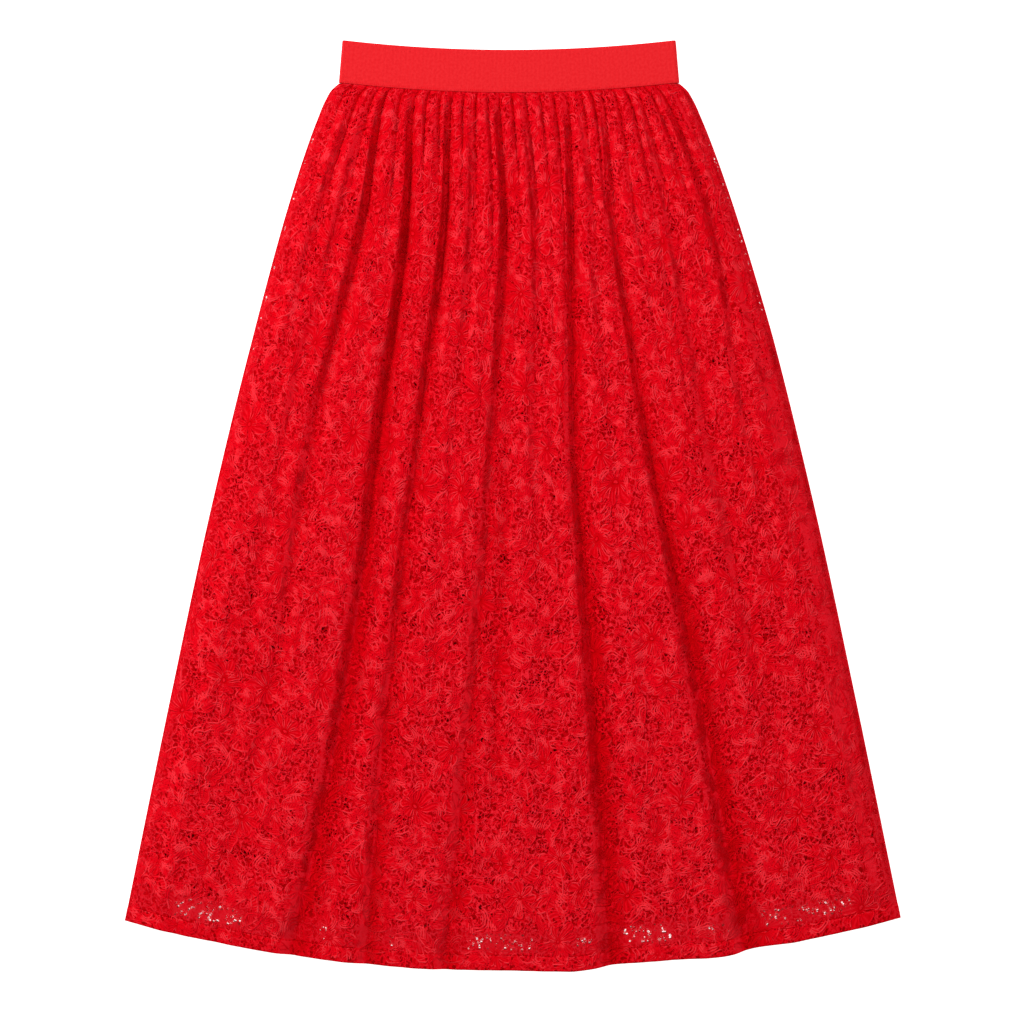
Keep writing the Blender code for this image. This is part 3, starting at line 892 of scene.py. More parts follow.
def nearest_of(places: Array, centres: Array, sizes: Array) -> Array:
    """Which centre each place is nearest to, in shares of the centres' sizes.

    Args:
        places: rows of two.
        centres: rows of two.
        sizes: one for each centre.

    Returns:
        The centres' numbers.
    """
    best = np.full(len(places), np.inf)
    index = np.zeros(len(places), int)
    for number, (centre, size) in enumerate(zip(centres, sizes)):
        away = np.hypot(places[:, 0] - centre[0], places[:, 1] - centre[1]) / size
        closer = away < best
        best[closer], index[closer] = away[closer], number
    return index


class Draw(Enum):
    """What each lot of random numbers is for, as what it adds to the motifs' seed."""

    FLOWERS = 0
    LEAVES = 1
    CURLS = 2
    OUTLINED = 9


@dataclass
class Flowers:
    """The lace's motifs on the flat cloth: daisies on a staggered lattice, leaves, and curls between them.

    A rib's places are shares of the flower's radius. A curl's rate and beat are in radians for each step. The
    pull's four numbers are its long wave, how far and how slowly that bends, and its short wave.
    """

    width: float
    length: float
    pitch: Pair = (0.060, 0.052)
    large: Pair = (0.0140, 0.0215)
    small: Pair = (0.0085, 0.0120)
    large_share: float = 0.55
    jitter: float = 0.013
    petals: tuple[int, int] = (6, 9)
    petals_outlined: float = 0.7
    outline_span: float = 0.80
    rib_from: float = 0.20
    rib_long: float = 0.48
    rib_aside: float = 2 / 3
    pull_wide: float = 0.0024
    pull_fine: float = 0.0008
    pull_right: tuple[float, float, float, float] = (0.047, 3, 0.090, 0.029)
    pull_below: tuple[float, float, float, float] = (0.041, 2, 0.080, 0.026)
    clear: float = 0.92
    leaves_each: int = 3
    leaf_turn: float = 0.4
    leaf_clear: float = 1.02
    leaf_lean: Pair = (0.5, 1.1)
    leaf_length: Pair = (0.022, 0.034)
    leaf_half: Pair = (0.0055, 0.0085)
    midrib_long: float = 0.92
    midrib_bow: float = 0.12
    midrib_bend: float = 3
    curls_each: int = 21
    curl_step: float = 0.0019
    curl_rate: Pair = (0.20, 0.55)
    curl_swing: float = 0.4
    curl_beat: Pair = (0.4, 0.9)
    curl_clear: Pair = (0.75, 0.25)
    lanes: int = 3
    lane_apart: Pair = (0.0024, 0.0034)
    seed: int = 11
    centres: Array = field(init=False)
    radii: Array = field(init=False)
    counts: Array = field(init=False)
    turns: Array = field(init=False)

    def __post_init__(self) -> None:
        """Spreads the flowers over the cut, with a fixed seed."""
        dice = self.dice(Draw.FLOWERS)
        across = np.arange(-self.width / 2 - self.pitch[0], self.width / 2 + self.pitch[0], self.pitch[0])
        below = np.arange(-self.pitch[1], self.length + self.pitch[1], self.pitch[1])
        x, y = np.meshgrid(across, below)
        x = x + (np.arange(len(below)) % 2)[:, None] * self.pitch[0] / 2
        self.centres = np.stack([x, y], axis=-1).reshape(-1, 2)
        self.centres = self.centres + dice.uniform(-self.jitter, self.jitter, self.centres.shape)
        count = len(self.centres)
        is_large = dice.random(count) < self.large_share
        self.radii = np.where(is_large, dice.uniform(*self.large, count), dice.uniform(*self.small, count))
        petals = dice.integers(self.petals[0] + 1, self.petals[1] + 1, count)
        self.counts = np.where(is_large, petals, np.minimum(petals, self.petals[0]))
        self.turns = dice.uniform(0, 2 * np.pi, count)

    def dice(self, draw: Draw, batch: int = 0) -> np.random.Generator:
        """A generator for one lot of random numbers, with a fixed seed."""
        return np.random.default_rng(self.seed + draw.value + batch)

    def pull(self, place: Array) -> Array:
        """How far the knitted ground is pulled out of true, right and down, in waves."""
        x, y = place[..., 0] * 2 * np.pi, place[..., 1] * 2 * np.pi
        pulls = []
        for along, aside, both, lengths in ((y, x, x + y, self.pull_right), (x, y, x - y, self.pull_below)):
            wave, bend, bend_wave, fine_wave = lengths
            wide = self.pull_wide * np.sin(along / wave + bend * np.sin(aside / bend_wave))
            pulls.append(wide + self.pull_fine * np.sin(both / fine_wave))
        return np.stack(pulls, axis=-1)

    def drawn(self, place: Array) -> Array:
        """Where a place on the cloth was in the even drawing of the motifs."""
        return place + self.pull(place)

    def worked(self, place: Array, repeats: int = 6) -> Array:
        """Where a place in the even drawing lies on the cloth: the inverse of drawn, by a few repeats."""
        cloth = place
        for _ in range(repeats):
            cloth = place - self.pull(cloth)
        return cloth

    def nearness(self, place: Array) -> tuple[Array, Array]:
        """The nearest flower to each drawn place, in shares of its radius, and that share."""
        flat = place.reshape(-1, 2)
        nearest = nearest_of(flat, self.centres, self.radii)
        share = np.linalg.norm(flat - self.centres[nearest], axis=1) / self.radii[nearest]
        return nearest.reshape(place.shape[:-1]), share.reshape(place.shape[:-1])

    def of_flower(self, flower: Array, reach: Array, angle: Array) -> Cords:
        """Cords that belong to flowers, which show where their own flower is the nearest.

        Args:
            flower: the flower that each cord belongs to.
            reach: cords by points, the distances from the flower's centre.
            angle: cords by points, the angles round it.

        Returns:
            Cords by points by two on the cloth, drawn out towards the first petal, and which points show.
        """
        drawn_out = 1 + LOPSIDED * np.cos(angle - self.turns[flower][:, None])
        place = self.centres[flower][:, None] + (reach * drawn_out)[..., None] * headed(angle)
        return self.worked(place), self.nearness(place)[0] == flower[:, None]

    def beside_flowers(self, place: Array, clear: float) -> Cords:
        """Cords that belong to no flower.

        Args:
            place: cords by points by two, in the drawing.
            clear: how near to a flower they show, in shares of its radius.

        Returns:
            The cords on the cloth, and which of their points show.
        """
        return self.worked(place), self.nearness(place)[1] > clear

    def petal_list(self) -> tuple[Array, Array]:
        """The flower that each petal belongs to, and the angle of its middle."""
        flower = np.repeat(np.arange(len(self.counts)), self.counts)
        first = np.repeat(np.cumsum(self.counts) - self.counts, self.counts)
        turn = 2 * np.pi * (np.arange(len(flower)) - first) / self.counts[flower] + self.turns[flower]
        return flower, turn

    def petal_outlines(self, points: int = 10) -> Cords:
        """Cords round most of the petals.

        A petal spans a phase from -pi to pi. Its edge is cos(phase / 2) ^ PETAL_POWER of the flower's radius
        from the centre, so that the petals are blunt and part only near the middle.

        Args:
            points: how many points a cord has.

        Returns:
            Cords by points by two, and which of their points show.
        """
        flower, turn = self.petal_list()
        share = np.linspace(-1, 1, points)[None]
        phase = self.outline_span * np.pi * share * (1.5 - 0.5 * share**2)
        reach = self.radii[flower][:, None] * np.cos(phase / 2) ** PETAL_POWER
        place, shown = self.of_flower(flower, reach, turn[:, None] + phase / self.counts[flower][:, None])
        outlined = self.dice(Draw.OUTLINED).random(len(flower)) < self.petals_outlined
        return place, shown & outlined[:, None]

    def petal_ribs(self, points: int = 4) -> Cords:
        """Two ribs in each petal, a third of its span to each side of its middle."""
        flower, turn = self.petal_list()
        flower, turn = np.tile(flower, 2), np.tile(turn, 2)
        side = np.repeat([-1.0, 1.0], len(flower) // 2)[:, None]
        share = np.linspace(0, 1, points)[None]
        reach = self.radii[flower][:, None] * (self.rib_from + self.rib_long * share)
        swing = side * self.rib_aside * np.pi / self.counts[flower][:, None] * np.ones_like(share)
        return self.of_flower(flower, reach, turn[:, None] + swing)

    def in_flower(self, middle: Array, corner: Array) -> Array:
        """Places within the nearest flower, in shares of its radius, turned so that a petal lies along X.

        Args:
            middle: each face's flat place.
            corner: the flat places of the faces' corners, faces by corners by two.

        Returns:
            Faces by corners by three, of which the third is the flower's number of petals.
        """
        nearest = nearest_of(middle, self.centres, self.radii)
        off = (corner - self.centres[nearest][:, None]) / self.radii[nearest][:, None, None]
        cos, sin = np.cos(self.turns[nearest])[:, None], np.sin(self.turns[nearest])[:, None]
        count = np.broadcast_to(self.counts[nearest][:, None], off.shape[:2])
        x, y = off[..., 0], off[..., 1]
        return np.stack([x * cos + y * sin, y * cos - x * sin, count], axis=-1)

    def in_leaf(self, middle: Array, corner: Array) -> Array:
        """Places within the nearest leaf: the share along it, the share of its half width aside, and 1.

        Args:
            middle: each face's flat place.
            corner: the flat places of the faces' corners, faces by corners by two.

        Returns:
            Faces by corners by three.
        """
        base, heading, length, half = self.leaf_list()
        forward = headed(heading)
        nearest = nearest_of(middle, base + forward * length[:, None] / 2, length)
        off = corner - base[nearest][:, None]
        forward, aside = forward[nearest][:, None], forward[nearest][:, None, ::-1] * (-1.0, 1.0)
        along = (off * forward).sum(-1) / length[nearest][:, None]
        across = (off * aside).sum(-1) / half[nearest][:, None]
        return np.stack([along, across, np.ones_like(along)], axis=-1)

    def mark(self, piece: bpy.types.Object) -> None:
        """Stores where each corner of a piece's faces lies within the nearest flower and the nearest leaf."""
        corner = self.drawn(flat_corners(piece))
        middle = corner.mean(axis=1)
        set_places(piece, "in_flower", self.in_flower(middle, corner))
        set_places(piece, "in_leaf", self.in_leaf(middle, corner))

    def leaf_list(self) -> tuple[Array, Array, Array, Array]:
        """Base, direction, length and half width of each leaf, which stands just outside the petals."""
        dice = self.dice(Draw.LEAVES)
        count = len(self.counts) * self.leaves_each
        flower = np.repeat(np.arange(len(self.counts)), self.leaves_each)
        order = np.tile(np.arange(self.leaves_each), len(self.counts))
        turn = dice.uniform(-self.leaf_turn, self.leaf_turn, count)
        angle = 2 * np.pi * order / self.leaves_each + self.turns[flower] + turn
        base = self.centres[flower] + headed(angle) * self.radii[flower][:, None] * self.leaf_clear
        heading = angle + dice.uniform(*self.leaf_lean, count) * dice.choice([-1, 1], count)
        return base, heading, dice.uniform(*self.leaf_length, count), dice.uniform(*self.leaf_half, count)

    def on_leaves(self, along: Array, aside: Array) -> Array:
        """Places in the drawing from places on each leaf.

        Args:
            along: one row of shares of the leaves' length.
            aside: one row of shares of their half width.

        Returns:
            Leaves by points by two.
        """
        base, heading, length, half = self.leaf_list()
        forward = headed(heading)[:, None]
        sideways = forward[..., ::-1] * (-1.0, 1.0)
        ahead = forward * along[None, :, None] * length[:, None, None]
        return base[:, None] + ahead + sideways * aside[None, :, None] * half[:, None, None]

    def leaf_outlines(self, points: int = 13) -> Cords:
        """Round each leaf: along is (1 - cosine) / 2 and aside is sine, drawn in towards the tip."""
        phase = np.linspace(0, 2 * np.pi, points)
        along = (1 - np.cos(phase)) / 2
        place = self.on_leaves(along, np.sin(phase) * (LEAF_WIDTH - LEAF_TAPER * along))
        return self.beside_flowers(place, self.clear)

    def leaf_midribs(self, points: int = 4) -> Cords:
        """A midrib along each leaf, which bows to one side."""
        along = np.linspace(0, self.midrib_long, points)
        place = self.on_leaves(along, self.midrib_bow * np.sin(self.midrib_bend * along))
        return self.beside_flowers(place, self.clear)

    def leaf_veins(self, points: int = 3) -> Cords:
        """Three veins on each side of each leaf, from its midrib forward to its edge."""
        share = np.linspace(0, 1, points)
        veins = [
            self.on_leaves(start + VEIN_REACH[0] * share, side * VEIN_REACH[1] * share)
            for start in VEIN_STARTS for side in (-1.0, 1.0)
        ]
        return self.beside_flowers(np.concatenate(veins), self.clear)

    def curls(self, batch: int, points: int = 8) -> Cords:
        """Cords that curl between the motifs and over some petals, in nests of three side by side.

        The inner one is a walk of even steps, whose heading turns at a steady rate that a sine wave speeds
        and slows. The others keep their distance from it on the outside of the bend.

        Args:
            batch: which lot of cords, 0 or 1, each with its own fixed seed.
            points: how many points a cord has.

        Returns:
            Cords by points by two, and which of their points show.
        """
        dice = self.dice(Draw.CURLS, batch)
        count = len(self.counts) * self.curls_each // (2 * self.lanes)
        start_x = dice.uniform(-self.width / 2, self.width / 2, count)
        start = np.stack([start_x, dice.uniform(0, self.length, count)], axis=-1)
        order = np.arange(points)[None]
        rate = dice.uniform(*self.curl_rate, (count, 1)) * dice.choice([-1, 1], (count, 1))
        heading = dice.uniform(0, 2 * np.pi, (count, 1)) + rate * order
        heading = heading + self.curl_swing * np.sin(order * dice.uniform(*self.curl_beat, (count, 1)))
        walk = np.cumsum(headed(heading) * self.curl_step, axis=1)
        outwards = headed(heading)[..., ::-1] * (1.0, -1.0) * np.sign(rate)[..., None]
        apart = dice.uniform(*self.lane_apart, (count, 1, 1))
        nest = [start[:, None] + walk + outwards * apart * lane for lane in range(self.lanes)]
        return self.beside_flowers(np.concatenate(nest), self.curl_clear[batch])


def unit(vectors: Array) -> Array:
    """Vectors of length 1 in the same directions."""
    return vectors / np.maximum(np.linalg.norm(vectors, axis=-1, keepdims=True), 1e-12)


@dataclass
class CordWork:
    """The raised cords of the lace, each a narrow arch on the front panel with its feet in the cloth."""

    cloth: ClothMap
    see: SeeThrough
    probe: float = 0.0012
    open_limit: float = 0.45
    longest: float = 0.012
    facing_right: Pair = (0.15, 0.35)
    shade_facing_right: float = 0.8

    def build(self, name: str, groups: list[tuple[Cords, float, float]]) -> bpy.types.Object:
        """Makes all the cords of some groups as one piece.

        Args:
            name: the piece's name.
            groups: for each, its cords on the flat cloth, and their width and height.

        Returns:
            The piece.
        """
        points, faces, flats, painted_shades, first = [], [], [], [], 0
        for cords, width, height in groups:
            made, quads, flat, deep = self.group(cords, width, height)
            points.append(made)
            faces.append(quads + first)
            flats.append(flat)
            painted_shades.append(deep)
            first += len(made)
        piece = new_mesh(name, np.concatenate(points), np.concatenate(faces))
        set_uv(piece, np.concatenate(flats))
        set_numbers(piece, "deep", np.concatenate(painted_shades))
        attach(piece, "root")
        return piece

    def normals(self, thread: Array, down: Array) -> Array:
        """The panel's normals, from places a small step to each side.

        Args:
            thread: places across the waist seam.
            down: shares of the way down.

        Returns:
            One row of three for each place.
        """
        place, step = self.cloth.drape.place, self.probe
        left, right = np.clip(thread - step, 0, 1), np.clip(thread + step, 0, 1)
        above, below = np.clip(down - step, 0, 1), np.clip(down + step, 0, 1)
        rightwards = place(right, down, True) - place(left, down, True)
        downwards = place(thread, below, True) - place(thread, above, True)
        return unit(np.cross(downwards, rightwards))

    def group(self, cords: Cords, width: float, height: float) -> tuple[Array, ...]:
        """Makes one group's cords.

        Args:
            cords: the cords on the flat cloth.
            width: width of a cord.
            height: height of a cord over the cloth.

        Returns:
            Points, faces, flat places and painted shade, in the folds and where a cord faces right, away from
            the key light, without what lies off the cloth, over the open patches, or across a fold in one
            long step.
        """
        paths, shown = cords
        thread, down, inside = self.cloth.draped(paths[..., 0], paths[..., 1])
        drape = self.cloth.drape
        centre, normal = drape.place(thread, down, True), self.normals(thread, down)
        tube, quads = arches(centre, normal, width, height)
        span = np.linalg.norm(np.diff(centre, axis=1), axis=-1)
        whole = inside & shown & (self.see.strength(drape.across(thread, down), down) < self.open_limit)
        kept = whole[:, :-1] & whole[:, 1:] & (span < self.longest)
        quads = quads[kept].reshape(-1, 4)
        used, packed = np.unique(quads, return_inverse=True)
        flat = np.repeat(paths[:, :, None], 3, axis=2).reshape(-1, 2)
        # Painted shade on cords whose normal turns right, away from the key light.
        turned = smooth((normal[..., 0] - self.facing_right[0]) / self.facing_right[1])
        deep = np.maximum(drape.deep(thread, down), self.shade_facing_right * turned)
        deep = np.repeat(deep[:, :, None], 3, axis=2).ravel()
        return tube.reshape(-1, 3)[used], packed.reshape(-1, 4), flat[used], deep[used]


def arches(centre: Array, normal: Array, width: float, height: float, end: float = 0.35,
           foot: float = 0.0001) -> tuple[Array, Array]:
    """Narrow arches along some paths, whose ends taper.

    An arch's cross-section is half its width aside and its height up, with its feet sunk in the surface.

    Args:
        centre: paths by points by three, on a surface.
        normal: the surface's normals there.
        width: width of an arch.
        height: its height.
        end: what is left of the two at an end.
        foot: how deep the feet are sunk.

    Returns:
        Points, paths by points by three by three, and faces, paths by points less one by two by four.
    """
    taper = np.ones((1, centre.shape[1], 1))
    taper[:, [0, -1]] = end
    aside = unit(np.cross(normal, np.gradient(centre, axis=1))) * width / 2 * taper
    low = centre - normal * foot
    points = np.stack([low - aside, centre + normal * height * taper, low + aside], axis=2)
    index = np.arange(points.shape[0] * points.shape[1] * 3).reshape(points.shape[:3])
    here, after = index[:, :, :-1], index[:, :, 1:]
    return points, np.stack([here[:, :-1], after[:, :-1], after[:, 1:], here[:, 1:]], axis=-1)


@dataclass(frozen=True)
class SeamStitches:
    """The short upright stitches that hold the lace in the waistband, along its lower edge."""

    pitch: float = 0.0021
    start: float = 0.0009
    end: float = 0.0034
    width: float = 0.0007
    height: float = 0.0003
    margin: float = 0.0020
    points: int = 3

    def build(self) -> bpy.types.Object:
        """Makes the stitches as one piece."""
        half = CUT.waist_half - float(BAND_HIGH[2]) / 2 - self.margin
        x = CUT.waist_shift + np.arange(-half, half, self.pitch)[:, None] * np.ones((1, self.points))
        above = np.linspace(self.start, self.end, self.points)[None] * np.ones_like(x)
        z = np.full_like(x, float(BAND_HIGH[2]))
        centre = np.stack([x, CUT.seam_height(x) + above, z], axis=-1)
        upwards = np.broadcast_to((0.0, 0.0, 1.0), centre.shape)
        made, faces = arches(centre, upwards, self.width, self.height)
        piece = new_mesh("waist_seam_stitches", made.reshape(-1, 3), faces.reshape(-1, 4))
        set_uv(piece, made.reshape(-1, 3)[:, :2])
        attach(piece, "root")
        return piece


@dataclass(frozen=True)
class HemStitches:
    """The stitches that hold up the front panel's hem."""

    pitch: float = 0.0042
    long: float = 0.0033
    width: float = 0.0010
    height: float = 0.0006
    margin: float = 0.006
    lower: float = 0.0006
    points: int = 4

    def paths(self, cloth: ClothMap) -> Cords:
        """The stitches on the flat cloth, all at the hem's upper edge.

        Args:
            cloth: the panel's flat cut.

        Returns:
            Stitches by points by two, and which of the points show: all.
        """
        half = cloth.hem_width / 2 - self.margin
        start = np.arange(-half, half, self.pitch)[:, None]
        right = start + np.linspace(0, self.long, self.points)[None]
        below = np.full_like(right, (CUT.hem_start + self.lower) * cloth.flat_length)
        return np.stack([right, below], axis=-1), np.ones(right.shape, bool)


class Graph:
    """A material's node tree, with methods that add nodes and return what they put out."""

    def __init__(self, name: str) -> None:
        """Starts an empty material.

        Args:
            name: the material's name.
        """
        self.material = bpy.data.materials.new(name)
        self.material.use_nodes = True
        self.tree = self.material.node_tree
        self.tree.nodes.clear()

    def node(self, kind: str, sockets: dict | None = None, **settings: object) -> bpy.types.Node:
        """Adds a node with its settings, and fills or links its inputs.

        Args:
            kind: the node's type without "ShaderNode".
            sockets: input names or numbers, each with a value or with an output to link.
            settings: attributes of the node.

        Returns:
            The node.
        """
        made = self.tree.nodes.new("ShaderNode" + kind)
        for key, value in settings.items():
            setattr(made, key, value)
        for key, value in (sockets or {}).items():
            if isinstance(value, Socket):
                self.tree.links.new(value, made.inputs[key])
            else:
                made.inputs[key].default_value = value
        return made

    def math(self, operation: str, *values: object) -> Socket:
        """The output of a Math node on one to three values."""
        return self.node("Math", dict(enumerate(values)), operation=operation).outputs[0]

    def times(self, first: object, second: object) -> Socket:
        """The product of two values."""
        return self.math("MULTIPLY", first, second)

    def scaled(self, value: object, factor: object, offset: object) -> Socket:
        """A value times a factor, plus an offset."""
        return self.math("MULTIPLY_ADD", value, factor, offset)

    def higher(self, first: object, second: object) -> Socket:
        """The larger of two values."""
        return self.math("MAXIMUM", first, second)

    def rest(self, share: object) -> Socket:
        """One less a share."""
        return self.math("SUBTRACT", 1.0, share)

    def wave(self, operation: str, angle: object) -> Socket:
        """A sine or a cosine that swings from 0 to 1."""
        return self.scaled(self.math(operation, angle), 0.5, 0.5)

    def ramp(self, value: Socket, low: float, high: float) -> Socket:
        """Rises smoothly from 0 at low to 1 at high, or falls where high is below low."""
        ends = {"Value": value, "From Min": min(low, high), "From Max": max(low, high)}
        if high < low:
            ends |= {"To Min": 1.0, "To Max": 0.0}
        return self.node("MapRange", ends, interpolation_type="SMOOTHSTEP").outputs[0]

    def between(self, factor: object, first: object, second: object) -> Socket:
        """A number between two, by a factor."""
        return self.node("Mix", {0: factor, 2: first, 3: second}).outputs[0]

    def blend(self, factor: object, first: object, second: object) -> Socket:
        """A colour between two, by a factor."""
        return self.node("Mix", {0: factor, 6: first, 7: second}, data_type="RGBA").outputs[2]

    def cloth(self) -> Socket:
        """The place on the flat cut."""
        return self.node("UVMap", uv_map="cloth").outputs[0]

    def stored(self, name: str) -> Socket:
        """A number stored on the piece."""
        return self.node("Attribute", attribute_name=name).outputs["Fac"]

    def stored_place(self, name: str) -> list[Socket]:
        """The three parts of a place stored on the piece."""
        return self.parts(self.node("Attribute", attribute_name=name).outputs["Vector"])

    def parts(self, place: Socket) -> list[Socket]:
        """The three parts of a place or of a colour."""
        return list(self.node("SeparateXYZ", {0: place}).outputs)

    def noise(self, place: Socket, size: float, detail: float = 1.0, output: str | int = 0) -> Socket:
        """Soft noise with waves of a real size."""
        sockets = {"Vector": place, "Scale": 1 / size, "Detail": detail}
        return self.node("TexNoise", sockets, noise_dimensions="2D").outputs[output]

    def warped(self, place: Socket, read_at: Socket, size: float, reach: float) -> Socket:
        """A place moved by a soft noise.

        Args:
            place: the place.
            read_at: where the noise is read.
            size: length of the noise's waves.
            reach: how far apart the noise can move two places.

        Returns:
            The moved place.
        """
        shift = self.noise(read_at, size, output="Color")
        shift = self.node("VectorMath", {0: shift, 1: (0.5, 0.5, 0.5)}, operation="SUBTRACT").outputs[0]
        shift = self.node("VectorMath", {0: shift, "Scale": reach}, operation="SCALE").outputs[0]
        return self.node("VectorMath", {0: place, 1: shift}, operation="ADD").outputs[0]

    def points(self, place: Socket, size: float) -> bpy.types.Node:
        """Scattered points a real size apart: the distance to the nearest, and three lots in its colour."""
        return self.node("TexVoronoi", {"Vector": place, "Scale": 1 / size}, voronoi_dimensions="2D")

    def cells(self, place: Socket, size: float, randomness: float = 1.0) -> Socket:
        """Distance to the nearest edge of a net of cells of a real size, as a share of the size."""
        sockets = {"Vector": place, "Scale": 1 / size, "Randomness": randomness}
        made = self.node("TexVoronoi", sockets, voronoi_dimensions="2D", feature="DISTANCE_TO_EDGE")
        return made.outputs["Distance"]

    def threads(self, place: Socket, width: float, direction: str, uneven: dict | None = None) -> Socket:
        """Straight bands side by side.

        Args:
            place: the place on the cloth.
            width: half of a wave, which is a thread or the space beside it.
            direction: the wave texture's direction.
            uneven: the texture's other inputs, each name with its value.

        Returns:
            The height, from 0 to 1.
        """
        sockets = {"Vector": place, "Scale": WAVE_SCALE / width} | (uneven or {})
        return self.node("TexWave", sockets, bands_direction=direction).outputs[0]

    def surface(self, colour: Socket, height: Socket, bump: float, strength: float, roughness: float,
                gloss: float, alpha: object = 1.0) -> bpy.types.Material:
        """Adds the surface of a cloth and links it to the output.

        Args:
            colour: the colour.
            height: the relief, from 0 to 1.
            bump: the relief's height in metres.
            strength: strength of the relief's shading.
            roughness: the surface's roughness.
            gloss: the surface's specular level.
            alpha: how opaque it is.

        Returns:
            The material.
        """
        normal = self.node("Bump", {"Height": height, "Distance": bump, "Strength": strength}).outputs[0]
        return self.finish(self.node("BsdfPrincipled", {
            "Base Color": colour, "Normal": normal, "Alpha": alpha, "Roughness": roughness,
            "Specular IOR Level": gloss,
        }).outputs[0])

    def finish(self, shader: Socket) -> bpy.types.Material:
        """Links the surface shader to the output."""
        self.node("OutputMaterial", {"Surface": shader})
        return self.material


@dataclass(frozen=True)
class LaceFinish:
    """Corded polyester lace, machine knitted: matte threads in petals, leaves, ribs and a net with holes.

    Its height runs from 0, between the threads, to 1, on top of a cord. Its colour follows its height, with
    painted shade between the threads and a painted highlight on top of the cords.
    """

    net_cell: float = 0.0036
    net_uneven: float = 0.8
    net_thread_edge: Pair = (0.22, 0.06)
    net_relief: Pair = (0.58, 0.02)
    net_edge: Pair = (0.52, 0.58)
    patch: float = 0.022
    hole_edge: Pair = (0.27, 0.33)
    holes_edge: Pair = (0.575, 0.62)
    sheer: float = 0.15
    rib_bed: float = 0.013
    ribs: float = 8.0
    rib_relief: Pair = (0.46, 0.18)
    cord_cell: float = 0.0085
    cord_edge: Pair = (0.12, 0.05)
    cord_height: float = 0.92
    tight_cell: float = 0.60
    tight_edge: Pair = (0.17, 0.07)
    tight_height: float = 0.78
    bend: Pair = (0.010, 0.008)
    curl: Pair = (0.0040, 0.0040)
    petal_edge: Pair = (-0.02, 0.01)
    petal_groove_edge: Pair = (-0.16, -0.04)
    petal_groove: float = 0.45
    petal_ribs_edge: Pair = (0.15, 0.45)
    petal_relief: Pair = (0.34, 0.38)
    petal_rim_edge: Pair = (0.085, 0.03)
    rim_height: float = 0.80
    middle_edge: Pair = (0.04, 0.18)
    eye_edge: Pair = (0.12, 0.06)
    eye_height: float = 0.75
    leaf_edge: Pair = (-0.05, 0.02)
    leaf_relief: Pair = (0.32, 0.42)
    vein_pitch: float = 0.1125
    midrib_edge: Pair = (0.16, 0.06)
    leaf_rim_edge: Pair = (0.22, 0.08)
    leaf_rim_height: float = 0.92
    double_share: float = 0.4
    double_height: float = 0.5
    # How far the crease sinks the height: a groove in the bump and a painted shadow line.
    crease_depth_and_shade: float = 0.75
    fuzz_size: float = 0.0013
    fuzz: float = 0.09
    streak_size: float = 0.0022
    streak_stretch: float = 0.06
    streak_relief: Pair = (0.50, 0.32)
    flank_share: float = 0.8
    # How much painted shade darkens the floors of the folds.
    shade: float = 0.35
    pit_cell: float = 0.0052
    pit_edge: Pair = (0.34, 0.22)
    pit_patch: float = 0.009
    pits_edge: Pair = (0.46, 0.54)
    # How far the pits sink the height: painted shade in small holes.
    pit_depth_and_shade: float = 0.85
    smooth_petal: float = 0.75
    # The lip's painted highlight: how much of it and how high.
    lip_share: float = 0.75
    lip_highlight_height: float = 0.78
    middle_height: float = 0.58
    # How the painted shade and highlight, with the bump, swing more towards the lower right and less at the
    # waist.
    contrast: Pair = (0.25, -0.11)
    contrast_right: Pair = (-0.30, 0.05)
    contrast_below: Pair = (0.10, 0.80)
    plain_open: float = 0.5
    plain_unlined: float = 0.30
    plain_height: float = 0.80
    dot_cell: float = 0.0036
    dot_relief: Pair = (0.24, 0.19)
    dot_below: float = 0.16
    dot_open: Pair = (0.14, -0.08)
    dot_soft: float = 0.03
    dots_edge: Pair = (0.36, 0.40)
    clear_edge: Pair = (0.2, 0.6)
    clear_relief: Pair = (0.35, 0.65)
    dot_patch: float = 0.009
    dot_patch_edge: Pair = (0.40, 0.47)
    open_edge: Pair = (0.25, 0.40)
    tones: tuple[tuple[float, Tone], ...] = ((0.25, Tone.LACE_LOW), (0.55, Tone.LACE))
    bump: float = 0.0008
    roughness: float = 0.75
    gloss: float = 0.01

    def build(self) -> bpy.types.Material:
        """Makes the material.

        Returns:
            The material.
        """
        g = Graph("corded_polyester_lace")
        cloth = g.cloth()
        wound = g.warped(cloth, cloth, *self.bend)
        curly = g.warped(wound, cloth, *self.curl)
        kind = g.noise(cloth, self.patch, 2.0)
        net = g.cells(wound, self.net_cell, self.net_uneven)
        winding = self.winding(g, curly)
        leaf, in_leaf = self.leaf(g)
        petal, in_petal, beside_petal = self.petal(g)

        ground = self.ground(g, wound, kind, net)
        ground = g.higher(ground, g.times(winding, self.cord_height))
        ground = g.times(ground, g.scaled(beside_petal, -self.petal_groove, 1.0))
        height = g.between(in_petal, g.between(in_leaf, ground, leaf), petal)
        height = self.folded(g, cloth, height)
        height = self.pitted(g, cloth, wound, height, in_petal)
        height = self.shade_contrasted(g, cloth, height)
        height = self.plain(g, height)

        hole = g.times(g.ramp(net, *self.hole_edge), g.ramp(kind, *self.holes_edge))
        hole = g.times(hole, g.rest(g.higher(g.higher(in_leaf, in_petal), winding)))
        gap = g.higher(g.times(hole, g.stored("net_open")), g.times(g.stored("unlined"), self.sheer))
        alpha = g.rest(g.higher(self.daylight(g), gap))
        return g.surface(self.colour(g, height), height, self.bump, 1.0, self.roughness, self.gloss, alpha)

    def colour(self, g: Graph, height: Socket) -> Socket:
        """The colour at a height: four tones, from painted shade between the threads to a painted highlight
        on top of a cord.
        """
        made = g.node("ValToRGB", {0: height})
        stops = made.color_ramp.elements
        stops[0].position, stops[0].color = 0.0, linear(Tone.LACE_GAP_SHADE)
        stops[1].position, stops[1].color = 1.0, linear(Tone.LACE_HIGH)
        for place, tone in self.tones:
            stops.new(place).color = linear(tone)
        return made.outputs[0]

